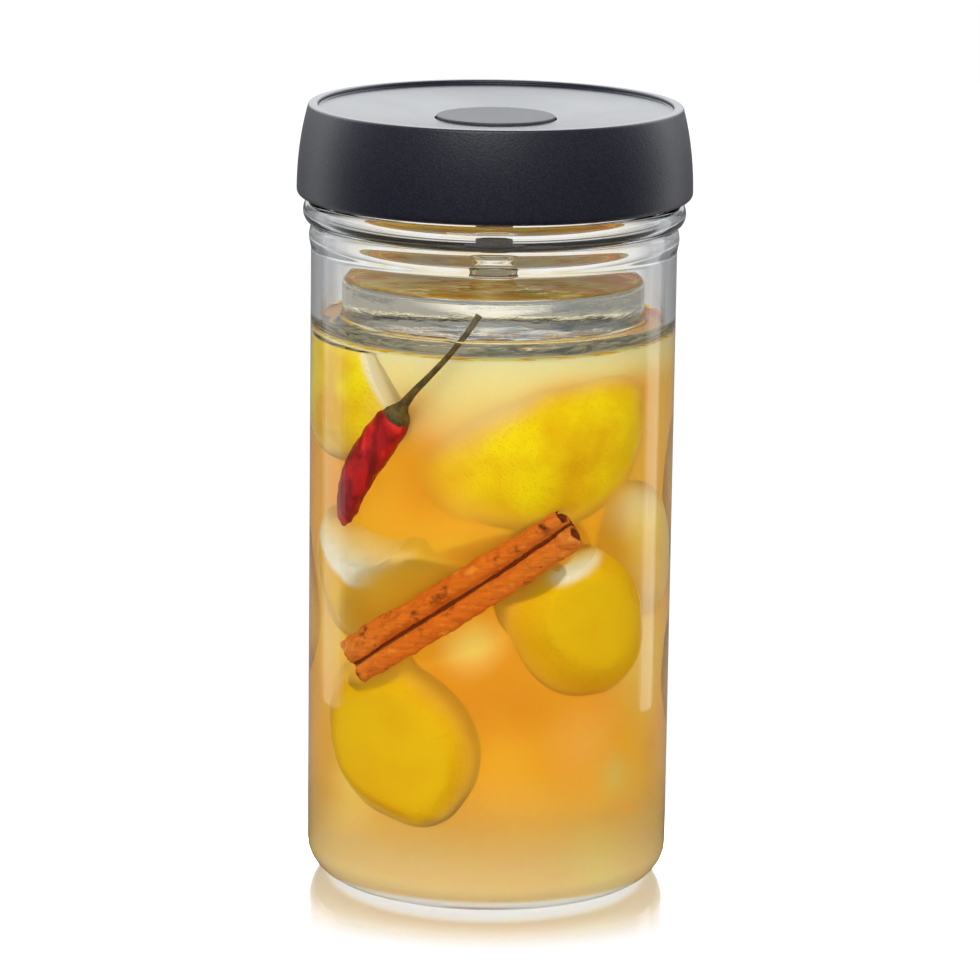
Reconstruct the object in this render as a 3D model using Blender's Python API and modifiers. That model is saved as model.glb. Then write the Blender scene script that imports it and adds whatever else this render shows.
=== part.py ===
"""Fermentation jar: a straight glass jar, a loose glass weight and a screw lid with a push-button vent.

Units are metres and +Z is up. The origin is the centre of the jar's foot, on the table.
Every piece is turned about the Z axis, so profiles are lists of (radius, height) points.
"""
import math

import bmesh
import bpy
from mathutils import Matrix, Vector

# Clearances
FIT_GAP = 0.0003
BUTTON_GAP = 0.00045
SKIRT_GAP = 0.0012
WEIGHT_SIDE_GAP = 0.00385
VALVE_TO_KNOB = 0.0013

# Glass jar
BODY_RADIUS = 0.05425
GLASS_WALL = 0.0033
FLOOR_THICKNESS = 0.0030
HEEL_ROUND = 0.0095
INNER_HEEL_ROUND = 0.0080
PUNT_RADIUS = 0.0370
PUNT_DEPTH = 0.0012
BODY_HEIGHT = 0.1900
RIDGE_HEIGHT = 0.0084
RIDGE_RISE = 0.0006
BEAD_HEIGHT = 0.0068
BEAD_RISE = 0.0024
FINISH_HEIGHT = 0.0178
FINISH_STEP = 0.00205
FINISH_WALL = 0.0036
LIP_ROUND = 0.0012

# Screw thread, with the same starts on the glass and in the lid
THREAD_STARTS = 4
THREAD_LEAD = 0.0200
THREAD_DEPTH = 0.0013
THREAD_ROOT_HEIGHT = 0.0022
THREAD_CREST_HEIGHT = 0.0010
THREAD_BELOW_RIM = 0.0085
THREAD_ARC = math.radians(68)
LUG_ARC = math.radians(40)
THREAD_BITE = 0.0004

# Rim seal
SEAL_THICKNESS = 0.0020
SEAL_LIP_WIDTH = 0.0010
SEAL_LIP_DEPTH = 0.0028

# Lid liner
LINER_WALL = 0.0010
LINER_CEILING = 0.0016
LINER_FOOT_HEIGHT = 0.0016
WELL_DEPTH = 0.0142
WELL_WALL = 0.0014

# Lid cover
COVER_WALL = 0.0016
COVER_PLATE = 0.0018
COVER_LAP = 0.0008
RIM_RISE = 0.0041
RIM_WIDTH = 0.0028
RIM_ROUND = 0.0007
RIM_COVE = 0.0005
PLATE_RISE = 0.0028
CROWN_DROP = 0.0034
CROWN_POWER = 2.24
SKIRT_ROUND = 0.0017
COLLAR_WALL = 0.0013
COLLAR_DEPTH = 0.0050

# Vent button
BUTTON_RADIUS = 0.0175
BUTTON_RISE = 0.0008
BUTTON_TRAVEL = 0.0020
BUTTON_TOP = 0.0016
BUTTON_SKIRT_WALL = 0.0014
BUTTON_SKIRT = 0.0045
BUTTON_ROUND = 0.0004
BOSS_WALL = 0.0009
BOSS_LENGTH = 0.0070

# Valve
STEM_RADIUS = 0.0017
STEM_FOOT_RADIUS = 0.0040
STEM_FOOT_HEIGHT = 0.0010
STEM_GRIP = 0.0060
DISC_RADIUS = 0.0054
DISC_HEIGHT = 0.0011
TUBE_RADIUS = 0.0055
TUBE_WALL = 0.0018
TUBE_BELOW_WELL = 0.0146
FLANGE_RADIUS = 0.0090
FLANGE_HEIGHT = 0.0015
RIB_COUNT = 3
RIB_WIDTH = 0.0009
RIB_LENGTH = 0.0100
RIB_LIFT = 0.0020
WASHER_RADIUS = 0.0086
WASHER_HEIGHT = 0.0010
NUT_RADIUS = 0.0100
NUT_HEIGHT = 0.0043
NUT_SIDES = 6

# Return spring
SPRING_WIRE_RADIUS = 0.00035
SPRING_RADIUS = 0.0042
SPRING_TURNS = 6
SPRING_POINTS_PER_TURN = 10

# Glass weight
WEIGHT_HEIGHT = 0.0171
WEIGHT_TOP_ROUND = 0.0020
WEIGHT_FOOT_ROUND = 0.0030
KNOB_RADIUS = 0.0073
KNOB_NECK_RADIUS = 0.0056
KNOB_HEIGHT = 0.0078
KNOB_FILLET = 0.0018

# Facets of a full turn, of a rounded corner and of the lid's curved side
LARGE_STEPS = 56
SMALL_STEPS = 32
CORNER_STEPS = 3
CROWN_STEPS = 6

# Heights and radii that follow from the sizes above
RIDGE_TOP = BODY_HEIGHT + RIDGE_HEIGHT
BEAD_TOP = RIDGE_TOP + BEAD_HEIGHT
RIM = BEAD_TOP + FINISH_HEIGHT
INNER_RADIUS = BODY_RADIUS - GLASS_WALL
FINISH_RADIUS = BODY_RADIUS - FINISH_STEP
MOUTH_RADIUS = FINISH_RADIUS - FINISH_WALL

SEAL_BOTTOM = RIM + FIT_GAP
SEAL_TOP = SEAL_BOTTOM + SEAL_THICKNESS
CEILING_BOTTOM = SEAL_TOP + FIT_GAP
CEILING_TOP = CEILING_BOTTOM + LINER_CEILING
PLATE_BOTTOM = CEILING_TOP + FIT_GAP
PLATE_TOP = PLATE_BOTTOM + COVER_PLATE
LID_TOP = PLATE_TOP + RIM_RISE
LID_BOTTOM = BEAD_TOP + SKIRT_GAP
LINER_BOTTOM = LID_BOTTOM + COVER_LAP + FIT_GAP

BORE_RADIUS = FINISH_RADIUS + THREAD_DEPTH + FIT_GAP
LUG_CREST_RADIUS = BORE_RADIUS - THREAD_DEPTH
LINER_RADIUS = BORE_RADIUS + LINER_WALL
COLLAR_INNER_RADIUS = BUTTON_RADIUS + BUTTON_GAP
COLLAR_OUTER_RADIUS = COLLAR_INNER_RADIUS + COLLAR_WALL
WELL_RADIUS = COLLAR_OUTER_RADIUS + FIT_GAP
WELL_FLOOR_TOP = CEILING_TOP - WELL_DEPTH
WELL_FLOOR_BOTTOM = WELL_FLOOR_TOP - WELL_WALL

FLANGE_BOTTOM = WELL_FLOOR_TOP + FIT_GAP
FLANGE_TOP = FLANGE_BOTTOM + FLANGE_HEIGHT
TUBE_BOTTOM = WELL_FLOOR_BOTTOM - TUBE_BELOW_WELL
TUBE_BORE_RADIUS = TUBE_RADIUS - TUBE_WALL
TUBE_HOLE_RADIUS = TUBE_RADIUS + FIT_GAP
WASHER_TOP = WELL_FLOOR_BOTTOM - FIT_GAP
WASHER_BOTTOM = WASHER_TOP - WASHER_HEIGHT
NUT_TOP = WASHER_BOTTOM - FIT_GAP
NUT_BOTTOM = NUT_TOP - NUT_HEIGHT

BUTTON_FACE = PLATE_TOP + BUTTON_RISE
BUTTON_UNDERSIDE = BUTTON_FACE - BUTTON_TOP
BOSS_BOTTOM = BUTTON_UNDERSIDE - BOSS_LENGTH
BOSS_BORE_RADIUS = STEM_RADIUS + FIT_GAP
STEM_TOP = BOSS_BOTTOM + STEM_GRIP
DISC_TOP = TUBE_BOTTOM - FIT_GAP
DISC_BOTTOM = DISC_TOP - DISC_HEIGHT
FOOT_TOP = DISC_BOTTOM - FIT_GAP
FOOT_BOTTOM = FOOT_TOP - STEM_FOOT_HEIGHT

WEIGHT_RADIUS = MOUTH_RADIUS - WEIGHT_SIDE_GAP
KNOB_TOP = FOOT_BOTTOM - BUTTON_TRAVEL - VALVE_TO_KNOB
WEIGHT_TOP = KNOB_TOP - KNOB_HEIGHT
WEIGHT_BOTTOM = WEIGHT_TOP - WEIGHT_HEIGHT


# Scene

def clear_scene():
    """Removes whatever the file holds."""
    for item in list(bpy.data.objects):
        bpy.data.objects.remove(item, do_unlink=True)
    for block in (bpy.data.meshes, bpy.data.curves, bpy.data.materials, bpy.data.collections):
        for item in list(block):
            block.remove(item)


def new_collection(name):
    """Adds a collection to the scene."""
    collection = bpy.data.collections.new(name)
    bpy.context.scene.collection.children.link(collection)
    return collection


def axis_empty(collection, name, height):
    """Adds an empty on the Z axis, which a moving group hangs on."""
    empty = bpy.data.objects.new(name, None)
    empty.empty_display_type = "PLAIN_AXES"
    empty.empty_display_size = 0.01
    empty.location.z = height
    collection.objects.link(empty)
    return empty


def material(name, colour, roughness, metallic=0.0, transmission=0.0):
    """Makes a plain Principled material."""
    result = bpy.data.materials.new(name)
    result.use_nodes = True
    shader = result.node_tree.nodes["Principled BSDF"]
    shader.inputs["Base Color"].default_value = (*colour, 1.0)
    shader.inputs["Roughness"].default_value = roughness
    shader.inputs["Metallic"].default_value = metallic
    shader.inputs["Transmission Weight"].default_value = transmission
    result.diffuse_color = (*colour, 1.0)
    return result


# Profiles

def corner_arc(before, corner, after, radius):
    """Replaces one corner of an outline by an arc that touches both of its sides."""
    point = Vector(corner)
    to_before = (Vector(before) - point).normalized()
    to_after = (Vector(after) - point).normalized()
    half_angle = to_before.angle(to_after) / 2
    reach = radius / math.tan(half_angle)
    centre = point + (to_before + to_after).normalized() * (radius / math.sin(half_angle))
    first = point + to_before * reach - centre
    turn = first.angle_signed(point + to_after * reach - centre)
    points = []
    for step in range(CORNER_STEPS + 1):
        angle = -turn * step / CORNER_STEPS
        points.append(tuple(centre + Matrix.Rotation(angle, 2) @ first))
    return points


def rounded(corners, closed=False):
    """Turns (radius, height) or (radius, height, rounding) corners into outline points."""
    outline = []
    last = len(corners) - 1
    for index, corner in enumerate(corners):
        at_end = not closed and index in (0, last)
        if len(corner) == 2 or at_end:
            outline.append(corner[:2])
            continue
        before = corners[index - 1][:2]
        after = corners[(index + 1) % len(corners)][:2]
        outline.extend(corner_arc(before, corner[:2], after, corner[2]))
    return outline


def bulge(radius, rise, top, height, steps):
    """Half an ellipse that stands out of a straight wall, from its top to its bottom."""
    points = []
    for step in range(steps + 1):
        angle = math.pi * (0.5 - step / steps)
        points.append((radius + rise * math.cos(angle), top - height / 2 + math.sin(angle) * height / 2))
    return points


def swell(radius, rise, top, height, steps):
    """A soft ring that rises smoothly out of a straight wall, from its top to its bottom."""
    points = []
    for step in range(steps + 1):
        share = step / steps
        points.append((radius + rise * (1 - math.cos(2 * math.pi * share)) / 2, top - height * share))
    return points


def soft_step(start, end, steps):
    """A smooth S-shaped passage between two (radius, height) points on upright walls."""
    points = []
    for step in range(steps + 1):
        share = step / steps
        ease = (1 - math.cos(math.pi * share)) / 2
        points.append((start[0] + (end[0] - start[0]) * ease, start[1] + (end[1] - start[1]) * share))
    return points


# Solids

def freeze(piece, smooth_angle=math.radians(35)):
    """Replaces the modifiers by their result and shades it smooth up to an angle."""
    graph = bpy.context.evaluated_depsgraph_get()
    mesh = bpy.data.meshes.new_from_object(piece.evaluated_get(graph))
    mesh.name = piece.name
    piece.modifiers.clear()
    piece.data = mesh
    mesh.shade_smooth()
    mesh.set_sharp_from_angle(angle=smooth_angle)


def turned(collection, name, outline, finish, parent=None, closed=False, steps=LARGE_STEPS):
    """Turns an outline about the Z axis. An open outline starts and ends on the axis."""
    level = parent.location.z if parent else 0.0
    mesh = bpy.data.meshes.new(name)
    points = [(radius, 0.0, height - level) for radius, height in outline]
    edges = [(index, index + 1) for index in range(len(points) - 1)]
    if closed:
        edges.append((len(points) - 1, 0))
    mesh.from_pydata(points, edges, [])
    piece = bpy.data.objects.new(name, mesh)
    collection.objects.link(piece)
    piece.parent = parent
    screw = piece.modifiers.new("turn", "SCREW")
    screw.steps = steps
    screw.render_steps = steps
    screw.use_merge_vertices = True
    screw.merge_threshold = 0.00001
    bpy.context.view_layer.update()
    freeze(piece)
    if finish:
        piece.data.materials.append(finish)
    return piece


def helper(collection, name, mesh, parent=None):
    """Adds a mesh that only serves to join or cut another one."""
    tool = bpy.data.objects.new(name, mesh)
    tool.hide_render = True
    tool.display_type = "WIRE"
    tool.parent = parent
    collection.objects.link(tool)
    return tool


def combine(piece, tool, operation):
    """Joins a helper to a piece, or cuts the piece with it."""
    boolean = piece.modifiers.new(operation.lower(), "BOOLEAN")
    boolean.operation = operation
    boolean.object = tool
    bpy.context.view_layer.update()
    freeze(piece)


def thread_mesh(name, root_radius, crest_radius, height, arc):
    """Thread ridges of every start: a trapezoid swept along a short piece of the helix."""
    steps = max(3, round(arc / (2 * math.pi) * LARGE_STEPS))
    half_root = THREAD_ROOT_HEIGHT / 2
    half_crest = THREAD_CREST_HEIGHT / 2
    rise = THREAD_LEAD * arc / (2 * math.pi)
    shape = bmesh.new()
    for start in range(THREAD_STARTS):
        middle = 2 * math.pi * start / THREAD_STARTS
        low = height - rise / 2
        section = [
            (root_radius, low - half_root),
            (crest_radius, low - half_crest),
            (crest_radius, low + half_crest),
            (root_radius, low + half_root),
        ]
        turn = Matrix.Rotation(middle - arc / 2, 3, "Z")
        corners = [shape.verts.new(turn @ Vector((radius, 0.0, level))) for radius, level in section]
        face = shape.faces.new(corners)
        bmesh.ops.spin(
            shape,
            geom=[*corners, *face.edges, face],
            cent=(0, 0, 0),
            axis=(0, 0, 1),
            dvec=(0, 0, rise / steps),
            angle=arc,
            steps=steps,
        )
    bmesh.ops.recalc_face_normals(shape, faces=shape.faces)
    mesh = bpy.data.meshes.new(name)
    shape.to_mesh(mesh)
    shape.free()
    return mesh


# Jar

def glass_jar(parts, helpers, glass):
    """Jar with a punted foot, a neck ridge, a bead and a four-start screw finish."""
    outline = rounded([
        (0.0, FLOOR_THICKNESS),
        (INNER_RADIUS, FLOOR_THICKNESS, INNER_HEEL_ROUND),
        (INNER_RADIUS, BODY_HEIGHT),
    ])
    outline += soft_step((INNER_RADIUS, BODY_HEIGHT + RIDGE_HEIGHT / 2), (MOUTH_RADIUS, BEAD_TOP), 6)
    outline += rounded([
        (MOUTH_RADIUS, BEAD_TOP),
        (MOUTH_RADIUS, RIM, LIP_ROUND),
        (FINISH_RADIUS, RIM, LIP_ROUND),
        (FINISH_RADIUS, BEAD_TOP),
    ])[1:]
    outline += bulge(BODY_RADIUS, BEAD_RISE, BEAD_TOP, BEAD_HEIGHT, 8)
    outline += swell(BODY_RADIUS, RIDGE_RISE, RIDGE_TOP, RIDGE_HEIGHT, 6)[1:]
    outline += rounded([
        (BODY_RADIUS, BODY_HEIGHT),
        (BODY_RADIUS, 0.0, HEEL_ROUND),
        (PUNT_RADIUS, 0.0),
    ])[1:]
    outline += [(PUNT_RADIUS - PUNT_DEPTH, PUNT_DEPTH), (0.0, PUNT_DEPTH)]
    jar = turned(parts, "glass_jar", outline, glass)
    thread = thread_mesh(
        "glass_thread",
        FINISH_RADIUS - THREAD_BITE,
        FINISH_RADIUS + THREAD_DEPTH,
        RIM - THREAD_BELOW_RIM,
        THREAD_ARC,
    )
    combine(jar, helper(helpers, "glass_thread", thread), "UNION")
    return jar


def glass_weight(parts, parent, glass):
    """Solid puck that keeps the food under the brine, with a knob to lift it by."""
    knob_middle = (KNOB_TOP + WEIGHT_TOP) / 2
    outline = rounded([
        (0.0, KNOB_TOP),
        (KNOB_RADIUS, KNOB_TOP, (KNOB_TOP - knob_middle) * 0.7),
        (KNOB_RADIUS, knob_middle),
        (KNOB_NECK_RADIUS, knob_middle - (KNOB_RADIUS - KNOB_NECK_RADIUS)),
        (KNOB_NECK_RADIUS, WEIGHT_TOP, KNOB_FILLET * 0.8),
        (WEIGHT_RADIUS, WEIGHT_TOP, WEIGHT_TOP_ROUND),
        (WEIGHT_RADIUS, WEIGHT_BOTTOM, WEIGHT_FOOT_ROUND),
        (0.0, WEIGHT_BOTTOM),
    ])
    return turned(parts, "glass_weight", outline, glass, parent)


# Lid

def crown_radius(height):
    """Outer radius of the lid's cover: nearly upright at the skirt, drawn in towards the top."""
    def drop(level):
        return CROWN_DROP * ((level - LID_BOTTOM) / (LID_TOP - LID_BOTTOM)) ** CROWN_POWER

    skirt_radius = LINER_RADIUS + FIT_GAP + COVER_WALL + drop(CEILING_TOP)
    return skirt_radius - drop(height)


def rim_gasket(parts, parent, silicone):
    """Flat ring on the glass rim, with a lip that plugs the mouth."""
    outer = BORE_RADIUS - 2 * FIT_GAP
    lip_outer = MOUTH_RADIUS - FIT_GAP
    lip_inner = lip_outer - SEAL_LIP_WIDTH
    outline = [
        (lip_inner, SEAL_TOP),
        (outer, SEAL_TOP),
        (outer, SEAL_BOTTOM),
        (lip_outer, SEAL_BOTTOM),
        (lip_outer, SEAL_BOTTOM - SEAL_LIP_DEPTH),
        (lip_inner, SEAL_BOTTOM - SEAL_LIP_DEPTH),
    ]
    return turned(parts, "rim_gasket", outline, silicone, parent, closed=True)


def lid_liner(parts, helpers, parent, plastic):
    """Inner cup of the lid: thread lugs, seal seat, and the well that holds the valve."""
    foot_radius = crown_radius(LINER_BOTTOM + LINER_FOOT_HEIGHT) - COVER_WALL - FIT_GAP
    outline = rounded([
        (TUBE_HOLE_RADIUS, WELL_FLOOR_TOP),
        (WELL_RADIUS, WELL_FLOOR_TOP),
        (WELL_RADIUS, CEILING_TOP),
        (LINER_RADIUS, CEILING_TOP),
        (LINER_RADIUS, LINER_BOTTOM + LINER_FOOT_HEIGHT),
        (foot_radius, LINER_BOTTOM + LINER_FOOT_HEIGHT),
        (foot_radius, LINER_BOTTOM),
        (BORE_RADIUS, LINER_BOTTOM),
        (BORE_RADIUS, CEILING_BOTTOM),
        (WELL_RADIUS + WELL_WALL, CEILING_BOTTOM),
        (WELL_RADIUS + WELL_WALL, WELL_FLOOR_BOTTOM, WELL_WALL * 0.8),
        (TUBE_HOLE_RADIUS, WELL_FLOOR_BOTTOM),
    ], closed=True)
    liner = turned(parts, "lid_liner", outline, plastic, parent, closed=True)
    flank = (THREAD_ROOT_HEIGHT - THREAD_CREST_HEIGHT) / 2 / THREAD_DEPTH
    drop = (THREAD_ROOT_HEIGHT + THREAD_CREST_HEIGHT) / 2
    drop += FIT_GAP * 1.2 - flank * (LUG_CREST_RADIUS - FINISH_RADIUS)
    level = RIM - THREAD_BELOW_RIM - drop
    lugs = thread_mesh(
        "lid_lugs",
        BORE_RADIUS + THREAD_BITE,
        LUG_CREST_RADIUS,
        level - parent.location.z,
        LUG_ARC,
    )
    combine(liner, helper(helpers, "lid_lugs", lugs, parent), "UNION")
    return liner


def lid_cover(parts, parent, plastic):
    """Outer shell: crowned skirt, raised rim, dished top and the collar round the button."""
    rim_radius = crown_radius(LID_TOP)
    lap_radius = LINER_RADIUS
    lap_top = LID_BOTTOM + COVER_LAP
    outside = []
    for level in range(1, CROWN_STEPS):
        height = LID_TOP + (LID_BOTTOM - LID_TOP) * level / CROWN_STEPS
        outside.append((crown_radius(height), height))
    inside = []
    for level in range(CROWN_STEPS):
        height = lap_top + (PLATE_BOTTOM - lap_top) * level / (CROWN_STEPS - 1)
        inside.append((crown_radius(height) - COVER_WALL, height))
    outline = rounded([
        (COLLAR_INNER_RADIUS, PLATE_TOP, RIM_ROUND / 2),
        (COLLAR_OUTER_RADIUS, PLATE_TOP),
        (rim_radius - RIM_WIDTH, PLATE_TOP + PLATE_RISE, RIM_COVE),
        (rim_radius - RIM_WIDTH, LID_TOP, RIM_ROUND),
        (rim_radius, LID_TOP, RIM_ROUND),
        *outside,
        (crown_radius(LID_BOTTOM), LID_BOTTOM, SKIRT_ROUND),
        (lap_radius, LID_BOTTOM, COVER_LAP * 0.4),
        (lap_radius, lap_top),
        *inside,
        (COLLAR_OUTER_RADIUS, PLATE_BOTTOM),
        (COLLAR_OUTER_RADIUS, PLATE_BOTTOM - COLLAR_DEPTH),
        (COLLAR_INNER_RADIUS, PLATE_BOTTOM - COLLAR_DEPTH),
    ], closed=True)
    return turned(parts, "lid_cover", outline, plastic, parent, closed=True)


# Vent

def vent_button(parts, parent, plastic):
    """Round cap with a guide skirt and a boss that grips the stem."""
    boss_radius = BOSS_BORE_RADIUS + BOSS_WALL
    skirt_inner = BUTTON_RADIUS - BUTTON_SKIRT_WALL
    skirt_bottom = BUTTON_UNDERSIDE - BUTTON_SKIRT
    bore_top = STEM_TOP + FIT_GAP
    outline = rounded([
        (0.0, BUTTON_FACE),
        (BUTTON_RADIUS, BUTTON_FACE, BUTTON_ROUND),
        (BUTTON_RADIUS, skirt_bottom),
        (skirt_inner, skirt_bottom),
        (skirt_inner, BUTTON_UNDERSIDE),
        (boss_radius, BUTTON_UNDERSIDE),
        (boss_radius, BOSS_BOTTOM),
        (BOSS_BORE_RADIUS, BOSS_BOTTOM),
        (BOSS_BORE_RADIUS, bore_top),
        (0.0, bore_top),
    ])
    return turned(parts, "vent_button", outline, plastic, parent)


def valve_stem(parts, parent, plastic):
    """Rod from the button's boss to the foot that carries the valve disc."""
    outline = rounded([
        (0.0, STEM_TOP),
        (STEM_RADIUS, STEM_TOP, STEM_RADIUS * 0.3),
        (STEM_RADIUS, FOOT_TOP),
        (STEM_FOOT_RADIUS, FOOT_TOP),
        (STEM_FOOT_RADIUS, FOOT_BOTTOM, STEM_FOOT_HEIGHT * 0.6),
        (0.0, FOOT_BOTTOM),
    ])
    return turned(parts, "valve_stem", outline, plastic, parent, steps=SMALL_STEPS)


def valve_disc(parts, parent, silicone):
    """Silicone disc on the stem that shuts the housing's lower end."""
    bore = STEM_RADIUS + FIT_GAP
    outline = rounded([
        (bore, DISC_TOP),
        (DISC_RADIUS, DISC_TOP),
        (DISC_RADIUS, DISC_BOTTOM, DISC_HEIGHT * 0.5),
        (bore, DISC_BOTTOM),
    ], closed=True)
    return turned(parts, "valve_disc", outline, silicone, parent, closed=True, steps=SMALL_STEPS)


def valve_housing(parts, helpers, parent, plastic):
    """Flanged tube through the well floor, with ribs that guide the stem and let gas pass."""
    outline = rounded([
        (TUBE_BORE_RADIUS, FLANGE_TOP),
        (FLANGE_RADIUS, FLANGE_TOP, FLANGE_HEIGHT * 0.3),
        (FLANGE_RADIUS, FLANGE_BOTTOM),
        (TUBE_RADIUS, FLANGE_BOTTOM),
        (TUBE_RADIUS, TUBE_BOTTOM),
        (TUBE_BORE_RADIUS, TUBE_BOTTOM),
    ], closed=True)
    housing = turned(parts, "valve_housing", outline, plastic, parent, closed=True, steps=SMALL_STEPS)
    inner = STEM_RADIUS + FIT_GAP
    outer = TUBE_BORE_RADIUS + TUBE_WALL / 2
    middle = TUBE_BOTTOM + RIB_LIFT + RIB_LENGTH / 2 - parent.location.z
    shape = bmesh.new()
    for rib in range(RIB_COUNT):
        turn = Matrix.Rotation(2 * math.pi * rib / RIB_COUNT, 4, "Z")
        place = Matrix.Translation(((inner + outer) / 2, 0.0, middle))
        size = Matrix.Diagonal((outer - inner, RIB_WIDTH, RIB_LENGTH, 1.0))
        bmesh.ops.create_cube(shape, size=1.0, matrix=turn @ place @ size)
    mesh = bpy.data.meshes.new("housing_ribs")
    shape.to_mesh(mesh)
    shape.free()
    combine(housing, helper(helpers, "housing_ribs", mesh, parent), "UNION")
    return housing


def housing_washer(parts, parent, silicone):
    """Flat washer that seals the tube in the well floor."""
    outline = [
        (TUBE_HOLE_RADIUS, WASHER_TOP),
        (WASHER_RADIUS, WASHER_TOP),
        (WASHER_RADIUS, WASHER_BOTTOM),
        (TUBE_HOLE_RADIUS, WASHER_BOTTOM),
    ]
    return turned(parts, "housing_washer", outline, silicone, parent, closed=True, steps=SMALL_STEPS)


def housing_nut(parts, helpers, parent, plastic):
    """Hexagon nut under the washer."""
    shape = bmesh.new()
    middle = (NUT_TOP + NUT_BOTTOM) / 2 - parent.location.z
    bmesh.ops.create_cone(
        shape,
        cap_ends=True,
        segments=NUT_SIDES,
        radius1=NUT_RADIUS,
        radius2=NUT_RADIUS,
        depth=NUT_HEIGHT,
        matrix=Matrix.Translation((0.0, 0.0, middle)),
    )
    mesh = bpy.data.meshes.new("housing_nut")
    shape.to_mesh(mesh)
    shape.free()
    nut = bpy.data.objects.new("housing_nut", mesh)
    nut.parent = parent
    parts.objects.link(nut)
    outline = [(0.0, NUT_TOP + NUT_HEIGHT), (TUBE_HOLE_RADIUS, NUT_TOP + NUT_HEIGHT)]
    outline += [(TUBE_HOLE_RADIUS, NUT_BOTTOM - NUT_HEIGHT), (0.0, NUT_BOTTOM - NUT_HEIGHT)]
    drill = turned(helpers, "nut_bore", outline, None, parent, steps=SMALL_STEPS)
    drill.hide_render = True
    drill.display_type = "WIRE"
    combine(nut, drill, "DIFFERENCE")
    nut.data.materials.append(plastic)
    return nut


def return_spring(parts, parent, steel):
    """Compression spring between the housing's flange and the underside of the button."""
    low = FLANGE_TOP + FIT_GAP + SPRING_WIRE_RADIUS
    high = BUTTON_UNDERSIDE - FIT_GAP - SPRING_WIRE_RADIUS
    count = SPRING_TURNS * SPRING_POINTS_PER_TURN
    curve = bpy.data.curves.new("return_spring", "CURVE")
    curve.dimensions = "3D"
    curve.bevel_depth = SPRING_WIRE_RADIUS
    curve.bevel_resolution = 1
    curve.use_fill_caps = True
    spline = curve.splines.new("POLY")
    spline.points.add(count)
    for index, point in enumerate(spline.points):
        angle = 2 * math.pi * index / SPRING_POINTS_PER_TURN
        height = low + (high - low) * index / count - parent.location.z
        point.co = (SPRING_RADIUS * math.cos(angle), SPRING_RADIUS * math.sin(angle), height, 1.0)
    pitch = (high - low) / SPRING_TURNS
    print("return_spring: least gap between its turns", round(pitch - 2 * SPRING_WIRE_RADIUS, 5))
    spring = bpy.data.objects.new("return_spring", curve)
    spring.parent = parent
    parts.objects.link(spring)
    curve.materials.append(steel)
    return spring


def build():
    """Makes every piece of the jar."""
    clear_scene()
    parts = new_collection("fermentation_jar")
    helpers = new_collection("helpers")
    glass = material("clear_glass", (0.93, 0.95, 0.95), 0.02, transmission=1.0)
    charcoal = material("charcoal_plastic", (0.030, 0.030, 0.036), 0.42)
    button_grey = material("button_plastic", (0.035, 0.036, 0.040), 0.38)
    inner_grey = material("liner_plastic", (0.055, 0.056, 0.060), 0.45)
    clear_silicone = material("seal_silicone", (0.70, 0.71, 0.70), 0.50)
    dark_silicone = material("valve_silicone", (0.10, 0.10, 0.11), 0.55)
    valve_plastic = material("valve_plastic", (0.12, 0.12, 0.13), 0.40)
    steel = material("spring_steel", (0.62, 0.62, 0.63), 0.25, metallic=1.0)

    weight_axis = axis_empty(parts, "weight_axis", WEIGHT_BOTTOM)
    lid_axis = axis_empty(parts, "lid_axis", RIM)
    button_axis = axis_empty(parts, "button_axis", WELL_FLOOR_TOP)

    glass_jar(parts, helpers, glass)
    glass_weight(parts, weight_axis, glass)
    rim_gasket(parts, lid_axis, clear_silicone)
    lid_liner(parts, helpers, lid_axis, inner_grey)
    lid_cover(parts, lid_axis, charcoal)
    valve_housing(parts, helpers, lid_axis, valve_plastic)
    housing_washer(parts, lid_axis, dark_silicone)
    housing_nut(parts, helpers, lid_axis, valve_plastic)
    vent_button(parts, button_axis, button_grey)
    valve_stem(parts, button_axis, valve_plastic)
    valve_disc(parts, button_axis, dark_silicone)
    return_spring(parts, button_axis, steel)


build()
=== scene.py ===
"""Looks of the fermentation jar: fine glass, a matte screw lid, and lemons, cinnamon and a chilli in cloudy brine.

Units are metres and +Z is up. The origin is the centre of the jar's foot, and -Y is the front.
"""
import math

import bpy
from bpy.props import FloatProperty, FloatVectorProperty, IntProperty, PointerProperty
from mathutils import Matrix, Quaternion, Vector


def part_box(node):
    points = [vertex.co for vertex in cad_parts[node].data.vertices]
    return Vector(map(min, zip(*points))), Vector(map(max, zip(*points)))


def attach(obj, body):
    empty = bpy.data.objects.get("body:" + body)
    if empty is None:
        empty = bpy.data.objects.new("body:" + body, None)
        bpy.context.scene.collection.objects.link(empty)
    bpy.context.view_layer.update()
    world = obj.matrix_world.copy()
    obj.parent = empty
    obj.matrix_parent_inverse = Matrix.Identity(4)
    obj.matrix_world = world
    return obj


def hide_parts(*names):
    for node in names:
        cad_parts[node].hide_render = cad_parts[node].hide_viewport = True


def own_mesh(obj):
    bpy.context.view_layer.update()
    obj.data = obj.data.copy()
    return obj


bl_info = {
    "name": "Fermentation jar",
    "version": (1, 0, 0),
    "blender": (4, 5, 0),
    "location": "3D View > Sidebar > Jar",
    "description": "Builds the visible pieces of a fermentation jar around its packed solids",
    "category": "Object",
}

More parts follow.
